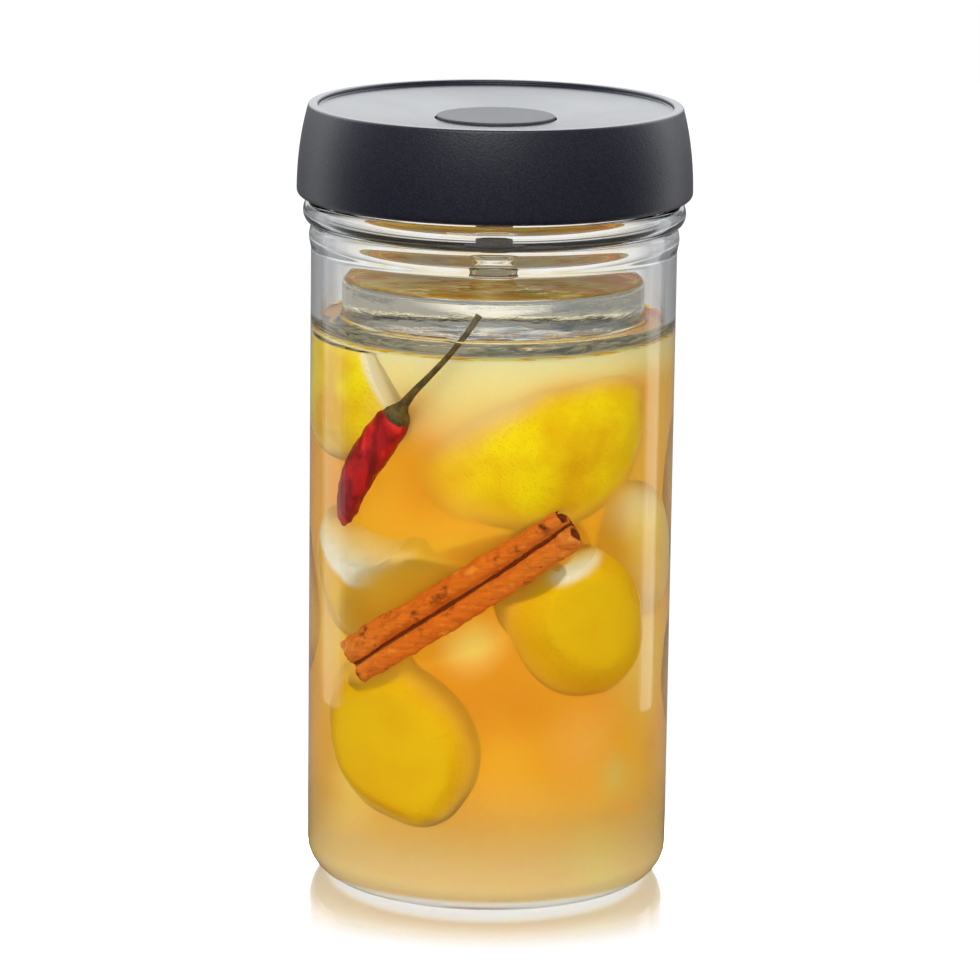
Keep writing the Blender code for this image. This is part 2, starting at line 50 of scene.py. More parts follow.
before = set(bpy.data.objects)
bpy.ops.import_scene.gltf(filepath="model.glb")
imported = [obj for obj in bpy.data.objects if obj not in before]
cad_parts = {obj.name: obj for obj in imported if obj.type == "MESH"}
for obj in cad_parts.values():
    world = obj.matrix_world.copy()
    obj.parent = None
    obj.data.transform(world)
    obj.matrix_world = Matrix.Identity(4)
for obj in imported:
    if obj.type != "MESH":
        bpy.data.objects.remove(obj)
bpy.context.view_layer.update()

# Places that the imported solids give
JAR_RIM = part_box("glass_jar")[1].z
WEIGHT_LOW, WEIGHT_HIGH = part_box("glass_weight")
COVER_LOW, COVER_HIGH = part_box("lid_cover")
LINER_LOW, LINER_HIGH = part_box("lid_liner")
BUTTON_LOW, BUTTON_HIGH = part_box("vent_button")
GASKET_LOW, GASKET_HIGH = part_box("rim_gasket")
TUBE_LOW, TUBE_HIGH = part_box("valve_housing")
WASHER_LOW, WASHER_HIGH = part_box("housing_washer")
NUT_LOW, NUT_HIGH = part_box("housing_nut")
STEM_LOW, STEM_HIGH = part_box("valve_stem")
DISC_LOW, DISC_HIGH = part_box("valve_disc")
SPRING_LOW, SPRING_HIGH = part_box("return_spring")

# Heights and radii of the jar's glass
BODY_RADIUS = 0.05425
GLASS_WALL = 0.0033
INNER_RADIUS = BODY_RADIUS - GLASS_WALL
FLOOR_TOP = 0.0030
HEEL_ROUND = 0.0095
INNER_HEEL_ROUND = 0.0080
PUNT_RADIUS = 0.0370
PUNT_DEPTH = 0.0012
PUNT_ROUND = 0.0008
SHOULDER = 0.1900
RIDGE_TOP = 0.1984
RIDGE_RISE = 0.0006
BEAD_TOP = 0.2052
BEAD_RISE = 0.0024
FINISH_RADIUS = 0.0522
MOUTH_RADIUS = 0.0486
LIP_ROUND = 0.0012

# Screw thread
THREAD_STARTS = 4
THREAD_LEAD = 0.0200
THREAD_DEPTH = 0.0013
THREAD_ROOT = 0.0022
THREAD_CREST = 0.0010
THREAD_HEIGHT = JAR_RIM - 0.0085
THREAD_ARC = math.radians(68)
LUG_HEIGHT = THREAD_HEIGHT - 0.00183
LUG_ARC = math.radians(40)
THREAD_RUNOUT = math.radians(7)

# Heights and radii of the lid
PLATE_TOP = 0.2293
PLATE_BOTTOM = 0.2275
PLATE_EDGE = 0.2321
CEILING_TOP = 0.2272
CEILING_BOTTOM = 0.2256
WELL_FLOOR_TOP = 0.2130
WELL_FLOOR_BOTTOM = 0.2116
BORE_RADIUS = 0.0538
LINER_RADIUS = 0.0548
COVER_WALL = 0.0016
CROWN_DRAW = 0.0034
CROWN_CURVE = 2.24
COLLAR_OUTER = 0.01925
COLLAR_INNER = 0.01795
WELL_RADIUS = 0.01955
FIT_GAP = 0.0003

# Sizes of the weight and the vent
WEIGHT_BODY = 0.0171
KNOB_RADIUS = 0.0073
KNOB_NECK = 0.0056
TUBE_HOLE = 0.0058
TUBE_BORE = 0.0037
ROD_RADIUS = 0.0017
WIRE_RADIUS = 0.00035
COIL_RADIUS = 0.0042

# Room between the brine and the glass, and the levels and fine rings of its cloudy core
BRINE_GAP = 0.00005
CORE_RINGS_LOW = 0.0600
CORE_RING_STEP = 0.0012
CORE_RINGS = 70
HAZE_LOW = FLOOR_TOP + 0.0003
HAZE_TOP = WEIGHT_LOW.z - FIT_GAP - 0.0004

# How strongly light bends, how high the glass's wave is, and the lamps' light behind a piece
GLASS_REFRACTION = 1.5
BRINE_REFRACTION = 1.34
GLASS_WAVE = 0.00006
WETTED_WAVE = 0.00002
WHITE = (1.0, 1.0, 1.0)
GLASS_SHADOW = (0.95, 0.97, 0.965)
PEEL_SHADOW = (0.80, 0.60, 0.25)

# Steps of a full turn and of one rounded corner
TURN_STEPS = 144
SMALL_TURN_STEPS = 64
CORE_TURN_STEPS = 192
CORNER_STEPS = 7

# Camera of the photograph
CAMERA_PLACE = (0.0, -1.400, 0.4278)
CAMERA_TILT = math.pi / 2 - 0.2185
CAMERA_ROLL = 0.0136
CAMERA_LENS = 175.8
CAMERA_SHIFT = -0.0008


# Settings

class JarSizes(bpy.types.PropertyGroup):
    """Sizes of what the jar holds and of its fine relief."""

    brine_level: FloatProperty(
        name="Brine level",
        description="Height of the brine's surface over the foot",
        default=0.1710,
        unit="LENGTH",
    )
    meniscus: FloatProperty(
        name="Meniscus",
        description="How far the brine creeps up the glass",
        default=0.0007,
        unit="LENGTH",
    )
    haze_radius: FloatProperty(
        name="Haze radius",
        description="Radius of the brine's core, which can't be seen through",
        default=0.0400,
        unit="LENGTH",
    )
    stick_thickness: FloatProperty(
        name="Bark thickness",
        description="Thickness of the cinnamon's rolled bark",
        default=0.0008,
        unit="LENGTH",
    )
    spring_turns: IntProperty(
        name="Spring turns",
        description="Turns of the vent's return spring",
        default=6,
        min=2,
    )


class JarColours(bpy.types.PropertyGroup):
    """Colours of the jar, its lid and its contents."""

    lid: FloatVectorProperty(
        name="Lid", description="Charcoal plastic of the lid", subtype="COLOR", default=(0.0080, 0.0084, 0.0165)
    )
    button: FloatVectorProperty(
        name="Button", description="Plastic of the vent button", subtype="COLOR", default=(0.030, 0.031, 0.035)
    )
    liner: FloatVectorProperty(
        name="Liner", description="Plastic inside the lid", subtype="COLOR", default=(0.070, 0.072, 0.078)
    )
    valve: FloatVectorProperty(
        name="Valve", description="Plastic of the valve", subtype="COLOR", default=(0.130, 0.130, 0.140)
    )
    seal: FloatVectorProperty(
        name="Seal", description="Silicone of the gasket", subtype="COLOR", default=(0.720, 0.730, 0.720)
    )
    # Painted shade of the glass where it is seen edge on
    glass_edge_shade: FloatVectorProperty(
        name="Glass edge", description="Glass seen edge on", subtype="COLOR", default=(0.450, 0.470, 0.495)
    )
    brine: FloatVectorProperty(
        name="Brine", description="What the brine lets through", subtype="COLOR", default=(0.995, 0.770, 0.050)
    )
    haze: FloatVectorProperty(
        name="Haze", description="Cloudy brine between the food", subtype="COLOR", default=(0.930, 0.600, 0.075)
    )
    # Painted shade on the cloudy brine
    haze_shade: FloatVectorProperty(
        name="Deep haze",
        description="Cloudy brine in the shade of the food",
        subtype="COLOR",
        default=(0.820, 0.450, 0.045),
    )
    haze_glow: FloatVectorProperty(
        name="Haze glow",
        description="Cloudy brine where light comes through",
        subtype="COLOR",
        default=(1.000, 0.850, 0.420),
    )
    haze_orange: FloatVectorProperty(
        name="Orange haze",
        description="Cloudy brine lit warmly from behind",
        subtype="COLOR",
        default=(1.000, 0.600, 0.190),
    )
    haze_green: FloatVectorProperty(
        name="Green haze",
        description="Cloudy brine over a slice of peel",
        subtype="COLOR",
        default=(0.780, 0.690, 0.300),
    )
    # Painted light on the cloudy brine under the weight, where light comes down through it
    haze_top_light: FloatVectorProperty(
        name="Cream haze", description="Cloudy brine under the weight", subtype="COLOR", default=(1.000, 0.940, 0.760)
    )
    haze_white: FloatVectorProperty(
        name="White haze", description="Cloudy brine over a cut lemon", subtype="COLOR", default=(1.000, 0.950, 0.800)
    )
    haze_pale: FloatVectorProperty(
        name="Pale haze", description="Cloudy brine near the floor", subtype="COLOR", default=(0.790, 0.610, 0.300)
    )
    lemon: FloatVectorProperty(
        name="Lemon", description="Lemon peel", subtype="COLOR", default=(0.980, 0.820, 0.002)
    )
    # Riper patches of the peel, also painted shade on the lower lemons
    lemon_shade: FloatVectorProperty(
        name="Lemon shade", description="Riper parts of the peel", subtype="COLOR", default=(0.820, 0.440, 0.001)
    )
    pith: FloatVectorProperty(
        name="Pith", description="Cut ends of the lemons", subtype="COLOR", default=(0.900, 0.860, 0.720)
    )
    bark: FloatVectorProperty(
        name="Bark", description="Cinnamon bark", subtype="COLOR", default=(0.660, 0.190, 0.032)
    )
    chilli: FloatVectorProperty(
        name="Chilli", description="Chilli pod", subtype="COLOR", default=(0.560, 0.012, 0.014)
    )
    stalk: FloatVectorProperty(
        name="Stalk", description="Stalk of the chilli", subtype="COLOR", default=(0.160, 0.110, 0.018)
    )


class StageSettings(bpy.types.PropertyGroup):
    """Light and floor of the studio."""

    room_light: FloatProperty(
        name="Room light", description="Even light from all round", default=1.00, min=0.0
    )
    key_power: FloatProperty(
        name="Front light", description="Large soft light above the camera", default=12.5, unit="POWER"
    )
    side_power: FloatProperty(
        name="Side lights", description="Soft upright lights on each side", default=0.040, unit="POWER"
    )
    back_power: FloatProperty(
        name="Back light", description="Wide soft light behind the jar", default=3.4, unit="POWER"
    )
    floor_polish: FloatProperty(
        name="Floor polish", description="Share of light that the floor mirrors", default=0.76, min=0.0, max=1.0
    )


def sizes():
    """Sizes that a user may have changed."""
    return bpy.context.scene.jar_sizes


def colours():
    """Colours that a user may have changed."""
    return bpy.context.scene.jar_colours


# Node maths

class Wire:
    """An output socket that can stand in a sum."""

    def __init__(self, owner, socket):
        self.owner = owner
        self.socket = socket

    def reckon(self, operation, *values, output=0):
        """Adds a Math node, or a Vector Math node where this is a vector."""
        kind = "ShaderNodeMath"
        if self.socket.type == "VECTOR":
            kind = "ShaderNodeVectorMath"
            values = [value if isinstance(value, (Wire, tuple)) else (value,) * 3 for value in values]
        return self.owner.node(kind, {"operation": operation}, dict(enumerate(values)), output)

    def __add__(self, other):
        return self.reckon("ADD", self, other)

    def __radd__(self, other):
        return self.reckon("ADD", other, self)

    def __sub__(self, other):
        return self.reckon("SUBTRACT", self, other)

    def __rsub__(self, other):
        return self.reckon("SUBTRACT", other, self)

    def __mul__(self, other):
        return self.reckon("MULTIPLY", self, other)

    def __rmul__(self, other):
        return self.reckon("MULTIPLY", other, self)

    def __pow__(self, other):
        return self.reckon("POWER", self, other)

    def __abs__(self):
        return self.reckon("ABSOLUTE", self)

    def __gt__(self, other):
        return self.reckon("GREATER_THAN", self, other)

    def most(self, other):
        """The larger of two values."""
        return self.reckon("MAXIMUM", self, other)

    def least(self, other):
        """The smaller of two values."""
        return self.reckon("MINIMUM", self, other)

    def unit(self):
        """The same direction with a length of one."""
        return self.reckon("NORMALIZE", self)

    def distance(self, spot):
        """Distance from this place to a spot."""
        return self.reckon("DISTANCE", self, spot, output="Value")


class NodeTree:
    """A material's or world's nodes, with one method that adds any of them."""

    def __init__(self, tree):
        self.tree = tree

    def node(self, kind, settings=None, inputs=None, output=0):
        """Adds a node, sets it, fills its sockets with values or wires, and returns one of its outputs."""
        made = self.tree.nodes.new(kind)
        for name, value in (settings or {}).items():
            setattr(made, name, value)
        for name, value in (inputs or {}).items():
            self.fill(made.inputs[name], value)
        return Wire(self, made.outputs[output])

    def fill(self, socket, value):
        """Links a wire to a socket or sets its value."""
        if isinstance(value, Wire):
            self.tree.links.new(value.socket, socket)
        elif socket.type == "RGBA" and len(value) == 3:
            socket.default_value = (*value, 1.0)
        else:
            socket.default_value = value

    def split(self, vector):
        """The three parts of a place or a direction."""
        parts = self.node("ShaderNodeSeparateXYZ", inputs={0: vector}).socket.node
        return [Wire(self, output) for output in parts.outputs]

    def noise(self, place, scale, detail=3.0, roughness=0.5, distortion=0.0):
        """Soft random pattern with a mean of about one half."""
        inputs = {"Vector": place, "Scale": scale, "Detail": detail, "Roughness": roughness, "Distortion": distortion}
        return self.node("ShaderNodeTexNoise", inputs=inputs, output="Fac")

    def ease(self, value, low, high, start=0.0, end=1.0):
        """Smooth passage from start to end as a value goes from low to high."""
        inputs = {"Value": value, "From Min": low, "From Max": high, "To Min": start, "To Max": end}
        return self.node("ShaderNodeMapRange", {"interpolation_type": "SMOOTHSTEP"}, inputs)

    def mix(self, share, first, second):
        """Passage from a first colour to a second one."""
        return self.node("ShaderNodeMix", {"data_type": "RGBA"}, {0: share, 6: first, 7: second}, output=2)

    def over(self, base, colour, value, low, high, most=1.0):
        """Lays a colour over another one, more and more as a value goes from low to high."""
        return self.mix(self.ease(value, low, high, 0.0, most), base, colour)

    def blend(self, share, first, second):
        """Passage from a first shader to a second one."""
        return self.node("ShaderNodeMixShader", inputs={0: share, 1: first, 2: second})

    def ray(self, kind):
        """What the light path says about the ray that meets the surface."""
        return self.node("ShaderNodeLightPath", output=kind)


class Finish(NodeTree):
    """A surface finish: a Principled shader and the nodes that feed it."""

    def __init__(self, name, **values):
        self.material = bpy.data.materials.new(name)
        self.material.use_nodes = True
        super().__init__(self.material.node_tree)
        self.shader = self.tree.nodes["Principled BSDF"]
        self.end = self.tree.nodes["Material Output"]
        self.surface = Wire(self, self.shader.outputs["BSDF"])
        # Position on the piece, which is also the position on the whole jar
        self.place = self.node("ShaderNodeTexCoord", output="Object")
        for socket, value in values.items():
            self.set(socket.replace("_", " "), value)

    def set(self, socket, value):
        """Fills one of the shader's sockets."""
        self.fill(self.shader.inputs[socket], value)

    def show(self, surface):
        """Makes a shader the visible surface."""
        self.surface = surface
        self.fill(self.end.inputs["Surface"], surface)

    def height(self):
        """Height of each place over the foot."""
        return self.split(self.place)[2]

    def facing(self):
        """Direction that the surface faces."""
        return self.node("ShaderNodeNewGeometry", output="Normal")

    def upward(self):
        """How far the surface looks up."""
        return self.split(self.facing())[2]

    def turning(self):
        """How far the surface turns away from the eye."""
        return self.node("ShaderNodeLayerWeight", inputs={"Blend": 0.5}, output="Facing")

    def written(self, name):
        """A share that is written on the points of the piece."""
        return self.node("ShaderNodeAttribute", {"attribute_name": name}, output="Fac")

    def bump(self, height, distance, strength=1.0):
        """Fine relief from a height pattern."""
        return self.node("ShaderNodeBump", inputs={"Height": height, "Distance": distance, "Strength": strength})

    def dress(self, colour, relief, depth, strength=1.0):
        """Sets the shader's colour and its fine relief, and returns the material."""
        self.set("Base Color", colour)
        self.set("Normal", self.bump(relief, depth, strength))
        return self.material

    def clear(self, colour):
        """A shader that lets everything through, tinted by a colour."""
        return self.node("ShaderNodeBsdfTransparent", inputs={"Color": colour})

    def glow(self, strength):
        """White light of a given strength."""
        return self.node("ShaderNodeEmission", inputs={"Color": WHITE, "Strength": strength})

    def let_lamps_through(self, colour):
        """Lets the lamps' light pass straight through, tinted, and returns the finished material."""
        self.show(self.blend(self.ray("Is Shadow Ray"), self.surface, self.clear(colour)))
        return self.material


# Finishes

def clear_glass(name, refraction=GLASS_REFRACTION, wave=GLASS_WAVE):
    """Moulded glass with a faint wave in its surface, a wet film inside its neck, and painted shade where it is seen
    edge on, grey in the neck and warm lower down.
    """
    finish = Finish(name, Roughness=0.0, IOR=refraction, Transmission_Weight=1.0)
    x, _, height = finish.split(finish.place)
    # Painted shade where the glass is seen edge on: grey in the neck, warm lower down.
    painted_edge_shade = finish.over((1.0, 0.94, 0.82), colours().glass_edge_shade, height, 0.160, 0.176)
    drops = finish.noise(finish.place * (0.40, 0.40, 2.0), 120.0, detail=4.0, roughness=0.6)
    wet = finish.ease(height, 0.1845, 0.1880) * finish.ease(height, 0.2045, 0.2000)
    wet = wet * finish.ease(abs(x), 0.046, 0.034) * finish.ease(drops, 0.44, 0.58)
    clear = finish.mix(wet, (0.995, 1.0, 1.0), (0.96, 0.88, 0.70))
    relief = finish.noise(finish.place * (1.0, 1.0, 0.45), 70.0, detail=1.0)
    finish.dress(finish.over(clear, painted_edge_shade, finish.turning(), 0.45, 0.98), relief, wave)
    return finish.let_lamps_through(GLASS_SHADOW)


def pressed_glass(name, refraction=GLASS_REFRACTION):
    """Thick pressed glass: streaky on its side, with painted blue-grey shade in the streaks, more of it lower down,
    and the brine's amber painted into its faces that look up, as the brine shows through them.
    """
    finish = Finish(name, Roughness=0.0, IOR=refraction, Transmission_Weight=1.0)
    streaks_and_shade = finish.noise(finish.place * (0.45, 0.45, 2.4), 150.0, detail=4.0, roughness=0.65, distortion=0.5)
    # Painted shade: blue-grey streaks on the side, more of them lower down.
    low = finish.ease(finish.height(), WEIGHT_LOW.z + 0.0120, WEIGHT_LOW.z + 0.0085, -0.16, 0.04)
    side = finish.over(WHITE, (0.34, 0.39, 0.48), streaks_and_shade + low, 0.53, 0.62)
    relief = finish.noise(finish.place * (1.0, 1.0, 0.45), 130.0, detail=1.0) + streaks_and_shade * 0.25
    # Painted amber of the brine seen through the faces that look up.
    finish.dress(finish.over(side, (1.0, 0.82, 0.38), finish.upward(), 0.50, 0.90), relief, 0.0002)
    return finish.let_lamps_through(GLASS_SHADOW)


def brine_liquid():
    """Clear amber liquid. Only its open surface bends light, because the glass does so where they touch."""
    finish = Finish(
        "brine_liquid", Base_Color=WHITE, Roughness=0.0, IOR=BRINE_REFRACTION, Transmission_Weight=1.0
    )
    open_face = finish.height() > sizes().brine_level - 0.0004
    finish.show(finish.blend(open_face, finish.clear(WHITE), finish.surface))
    tint = finish.node("ShaderNodeVolumeAbsorption", inputs={"Color": colours().brine, "Density": 45.0})
    finish.fill(finish.end.inputs["Volume"], tint)
    return finish.let_lamps_through((0.97, 0.97, 0.97))


def haze_colour(finish):
    """Colour of the cloudy brine: amber, with painted shade, painted light where light comes through it, at its
    sides, under the weight and along its foot, painted highlights on its top, and tints where food shows through it.
    """
    x, _, height = finish.split(finish.place)
    paint = colours()
    drift = finish.noise(finish.place * (1.0, 1.0, 0.7), 26.0, detail=1.0)
    # Painted shade in patches, painted light at the sides and under the weight, and a paler foot.
    amber = finish.over(paint.haze_shade, paint.haze, drift, 0.40, 0.66)
    amber = finish.over(amber, paint.haze_glow, abs(x), 0.034, 0.050)
    amber = finish.over(amber, paint.haze_top_light, height, 0.152, 0.163)
    amber = finish.over(amber, paint.haze_pale, height, 0.046, 0.012)
    # Spots of painted light and painted shade, and tints of food seen through the brine.
    for tint, spot, reach in TINTS:
        distance = finish.place.distance(spot) + (drift - 0.5) * 0.012
        amber = finish.over(amber, getattr(paint, tint), distance, reach, 0.0)
    # Painted highlights in waves on the top face.
    wave_light = finish.noise(finish.place * (0.6, 1.6, 1.0), 120.0, detail=2.0, distortion=1.0)
    top = finish.over((0.86, 0.46, 0.05), (1.0, 0.88, 0.36), wave_light, 0.40, 0.60)
    amber = finish.over(amber, top, height, HAZE_TOP - 0.0004, HAZE_TOP - 0.0001)
    # Painted bright line of light along the foot.
    return finish.over(amber, (1.0, 0.98, 0.92), height, HAZE_LOW + 0.0016, HAZE_LOW + 0.0004)


def in_brine(finish, colour):
    """Gives a finish its own colour near the glass and the cloudy brine's colour deeper in."""
    drift = finish.noise(finish.place, 60.0, detail=2.0)
    share = finish.ease(finish.written("haze") + (drift - 0.5) * 0.18, 0.03, 0.97)
    finish.set("Base Color", finish.mix(share, colour, haze_colour(finish)))
    return share


def soften_shape(finish, normal, share):
    """Turns a surface's shading outwards, as the cloudy brine in front of it does."""
    share = finish.written("pressed").most(share)
    outwards = (finish.place * (1.0, 1.0, 0.0)).unit()
    bent = finish.node("ShaderNodeMix", {"data_type": "VECTOR"}, {0: share, 4: normal, 5: outwards}, output=1)
    finish.set("Normal", bent.unit())


def haze_finish():
    """Cloudy core of the brine."""
    finish = Finish(
        "cloudy_brine",
        Roughness=0.9,
        Specular_IOR_Level=0.0,
        Subsurface_Weight=1.0,
        Subsurface_Scale=0.012,
        Subsurface_Radius=(1.0, 0.55, 0.20),
    )
    finish.set("Base Color", haze_colour(finish))
    height = finish.height()
    share = finish.ease(height, HAZE_LOW + 0.0004, HAZE_LOW + 0.0030)
    share = share * finish.ease(height, HAZE_TOP - 0.0001, HAZE_TOP - 0.0015)
    soften_shape(finish, finish.facing(), share)
    return finish.material


def lemon_peel():
    """Waxy peel with pores, riper patches, painted shade on the lower lemons and a painted bright rim where it turns
    away from the eye.
    """
    finish = Finish("lemon_peel", Roughness=0.5, Specular_IOR_Level=0.02)
    ripe_and_shade = colours().lemon_shade
    patches = finish.noise(finish.place, 38.0, detail=3.0)
    peel = finish.over(colours().lemon, ripe_and_shade, patches, 0.42, 0.72)
    pores = finish.node("ShaderNodeTexVoronoi", inputs={"Vector": finish.place, "Scale": 1000.0}, output="Distance")
    specks = finish.ease(pores, 0.0, 0.50)
    peel = finish.mix(specks, (0.88, 0.63, 0.003), peel)
    for nub, reach in NUBS:
        peel = finish.over(peel, (0.16, 0.15, 0.015), finish.place.distance(nub), reach, reach * 0.35)
    # Painted shade: the lower lemons darker and more orange.
    peel = finish.over(peel, ripe_and_shade, finish.height(), 0.125, 0.095, 0.75)
    # Painted bright rim where the peel turns away from the eye.
    peel = finish.over(peel, (1.0, 0.80, 0.30), finish.turning(), 0.72, 0.97)
    peel = finish.over(peel, colours().pith, finish.written("rim"), 0.0, 0.9)
    share = in_brine(finish, peel)
    soften_shape(finish, finish.bump(specks, 0.00022, 0.6), share)
    return finish.let_lamps_through(PEEL_SHADOW)


def lemon_pith():
    """Soft white cut face of a lemon."""
    finish = Finish("lemon_pith", Roughness=0.65, Specular_IOR_Level=0.0)
    fibres = finish.noise(finish.place, 260.0, detail=4.0, roughness=0.6)
    pith = finish.over(colours().pith, (0.86, 0.79, 0.60), fibres, 0.35, 0.75)
    for spot, reach in FLESH:
        pith = finish.over(pith, (0.78, 0.40, 0.14), finish.place.distance(spot), reach, reach * 0.7)
    share = in_brine(finish, pith)
    soften_shape(finish, finish.bump(fibres, 0.0002, 0.3), share.most(0.65))
    return finish.let_lamps_through(PEEL_SHADOW)


def cinnamon_bark(direction):
    """Rough bark with grain along the stick, and painted shade in the seam between its rolls and inside them."""
    finish = Finish("cinnamon_bark", Roughness=0.72, Specular_IOR_Level=0.03)
    turn = direction.to_track_quat("X", "Z").inverted().to_euler()
    inputs = {"Vector": finish.place, "Rotation": tuple(turn), "Scale": (0.10, 1.0, 1.0)}
    along = finish.node("ShaderNodeMapping", {"vector_type": "POINT"}, inputs)
    grain = finish.noise(along, 900.0, detail=4.0, roughness=0.65)
    blotch = finish.noise(finish.place, 190.0, detail=4.0, roughness=0.6)
    bark = finish.over(colours().bark, (0.80, 0.26, 0.040), grain, 0.35, 0.70)
    bark = finish.over(bark, (0.16, 0.035, 0.010), blotch, 0.56, 0.74)
    bark = finish.over(bark, (0.86, 0.38, 0.09), blotch, 0.42, 0.30)
    # Painted shade in the seam between the rolls and inside them.
    cleft_shade = finish.written("cleft_shade") + (blotch - 0.5) * 0.5
    bark = finish.over(bark, (0.150, 0.032, 0.008), cleft_shade, 0.10, 0.80)
    return finish.dress(bark, grain + blotch, 0.0007, 0.8)


def chilli_skin():
    """Glossy wrinkled skin of a dried chilli, with painted shade in its folds and painted highlights on their ridges.
    """
    finish = Finish("chilli_skin", Roughness=0.34, Specular_IOR_Level=0.12)
    folds_shade_and_highlight = finish.noise(finish.place * (1.0, 1.0, 0.55), 210.0, detail=3.0, distortion=0.6)
    # Painted shade in the folds and painted highlights on their ridges.
    red = finish.over((0.22, 0.006, 0.008), colours().chilli, folds_shade_and_highlight, 0.34, 0.66)
    return finish.dress(finish.over(red, (0.90, 0.045, 0.035), folds_shade_and_highlight, 0.60, 0.80), folds_shade_and_highlight, 0.0012, 0.7)


def chilli_stalk():
    """Dry green-brown stalk with fine ribs."""
    finish = Finish("chilli_stalk", Roughness=0.6)
    ribs = finish.noise(finish.place, 420.0, detail=3.0, roughness=0.6)
    return finish.dress(finish.over((0.055, 0.040, 0.010), colours().stalk, ribs, 0.35, 0.70), ribs, 0.0006, 0.8)


def moulded_plastic(name, colour, roughness, grain_scale=1500.0, grain=0.00004):
    """Moulded plastic with a fine matte grain, which is worn smooth on the faces that look up."""
    finish = Finish(name, IOR=1.55)
    grains = finish.noise(finish.place, grain_scale, detail=2.0, roughness=0.7)
    cloud = finish.noise(finish.place, 55.0, detail=2.0)
    upright = finish.ease(finish.upward(), 0.9, 0.5)
    lighter = tuple(min(1.0, part * 1.9) for part in colour)
    finish.set("Roughness", roughness + upright * 0.10 + (cloud - 0.5) * 0.06)
    return finish.dress(finish.over(colour, lighter, grains, 0.35, 0.68), grains * upright, grain, 0.7)


def soft_silicone(name, colour, roughness):
    """Silicone with a satin skin and a trace of dust."""
    finish = Finish(name, Specular_IOR_Level=0.35)
    dust = finish.noise(finish.place, 420.0, detail=3.0, roughness=0.7)
    duller = tuple(part * 0.86 for part in colour)
    finish.set("Roughness", roughness + (dust - 0.5) * 0.15)
    return finish.dress(finish.over(colour, duller, dust, 0.4, 0.75), dust, 0.00003, 0.5)


def spring_wire():
    """Drawn stainless wire."""
    finish = Finish("spring_wire", Metallic=1.0)
    lines = finish.noise(finish.place * (1.0, 1.0, 6.0), 900.0, detail=2.0)
    finish.set("Base Color", finish.mix(lines, (0.56, 0.56, 0.57), (0.68, 0.68, 0.69)))
    finish.set("Roughness", 0.22 + lines * 0.12)
    return finish.material


# Outlines

def corner_arc(before, corner, after, radius):
    """Replaces one corner of an outline by an arc that touches both of its sides."""
    point = Vector(corner)
    to_before = (Vector(before) - point).normalized()
    to_after = (Vector(after) - point).normalized()
    half_angle = to_before.angle(to_after) / 2
    reach = radius / math.tan(half_angle)
    centre = point + (to_before + to_after).normalized() * (radius / math.sin(half_angle))
    first = point + to_before * reach - centre
    turn = first.angle_signed(point + to_after * reach - centre)
    return [
        tuple(centre + Matrix.Rotation(-turn * step / CORNER_STEPS, 2) @ first)
        for step in range(CORNER_STEPS + 1)
    ]


def rounded(corners, closed=False):
    """Turns (radius, height) or (radius, height, rounding) corners into outline points."""
    outline = []
    last = len(corners) - 1
    for index, corner in enumerate(corners):
        if len(corner) == 2 or (not closed and index in (0, last)):
            outline.append(tuple(corner[:2]))
            continue
        before = corners[index - 1][:2]
        after = corners[(index + 1) % len(corners)][:2]
        outline.extend(corner_arc(before, corner[:2], after, corner[2]))
    return outline


def between(start, end, steps, shape=lambda share: 0.0):
    """Outline points from start to end, moved across by a shape of their share of the way."""
    points = []
    for step in range(steps + 1):
        share = step / steps
        radius = start[0] + (end[0] - start[0]) * share
        points.append((radius + shape(share), start[1] + (end[1] - start[1]) * share))
    return points


def crown_radius(height):
    """Outer radius of the lid's cover: nearly upright at the skirt, drawn in towards the top."""
    def drop(level):
        return CROWN_DRAW * ((level - COVER_LOW.z) / (COVER_HIGH.z - COVER_LOW.z)) ** CROWN_CURVE

    return LINER_RADIUS + FIT_GAP + COVER_WALL + drop(CEILING_TOP) - drop(height)


# Modelling by hand

def object_mode():
    """Goes back to object mode."""
    bpy.ops.object.mode_set(mode="OBJECT")


def edit_mode():
    """Goes to edit mode."""
    bpy.ops.object.mode_set(mode="EDIT")


def deselect():
    """Leaves object mode ready for a new piece."""
    if bpy.context.object and bpy.context.object.mode != "OBJECT":
        object_mode()
    bpy.ops.object.select_all(action="DESELECT")


def pick(piece):
    """Makes one piece the only selected one."""
    deselect()
    piece.select_set(True)
    bpy.context.view_layer.objects.active = piece
    return piece


def edit_all(piece):
    """Selects all of a piece, in edit mode."""
    pick(piece)
    edit_mode()
    bpy.ops.mesh.select_all(action="SELECT")


def named(name):
    """Names the piece that was just added."""
    piece = bpy.context.object
    piece.name = name
    piece.data.name = name
    return piece


def draw_line(points):
    """Starts a mesh with one point and extrudes it along a line of (x, y, z) points, in edit mode."""
    deselect()
    bpy.ops.mesh.primitive_plane_add(size=0.001)
    edit_mode()
    bpy.ops.mesh.select_mode(type="VERT")
    bpy.ops.mesh.merge(type="CENTER")
    bpy.ops.transform.translate(value=points[0])
    for before, after in zip(points, points[1:]):
        step = Vector(after) - Vector(before)
        bpy.ops.mesh.extrude_vertices_move(TRANSFORM_OT_translate={"value": step})
    bpy.ops.mesh.select_all(action="SELECT")


def close_seams():
    """Merges the points of a seam and turns all faces outwards."""
    edit_mode()
    bpy.ops.mesh.select_all(action="SELECT")
    bpy.ops.mesh.remove_doubles(threshold=0.000002)
    bpy.ops.mesh.normals_make_consistent(inside=False)
    object_mode()


def lathe(name, outline, closed=False, steps=TURN_STEPS):
    """Spins an outline about the jar's axis. An open outline starts and ends on the axis."""
    if closed:
        outline = [*outline, outline[0]]
    draw_line([(radius, 0.0, height) for radius, height in outline])
    bpy.ops.mesh.spin(steps=steps, angle=2 * math.pi, center=(0, 0, 0), axis=(0, 0, 1))
    close_seams()
    return named(name)


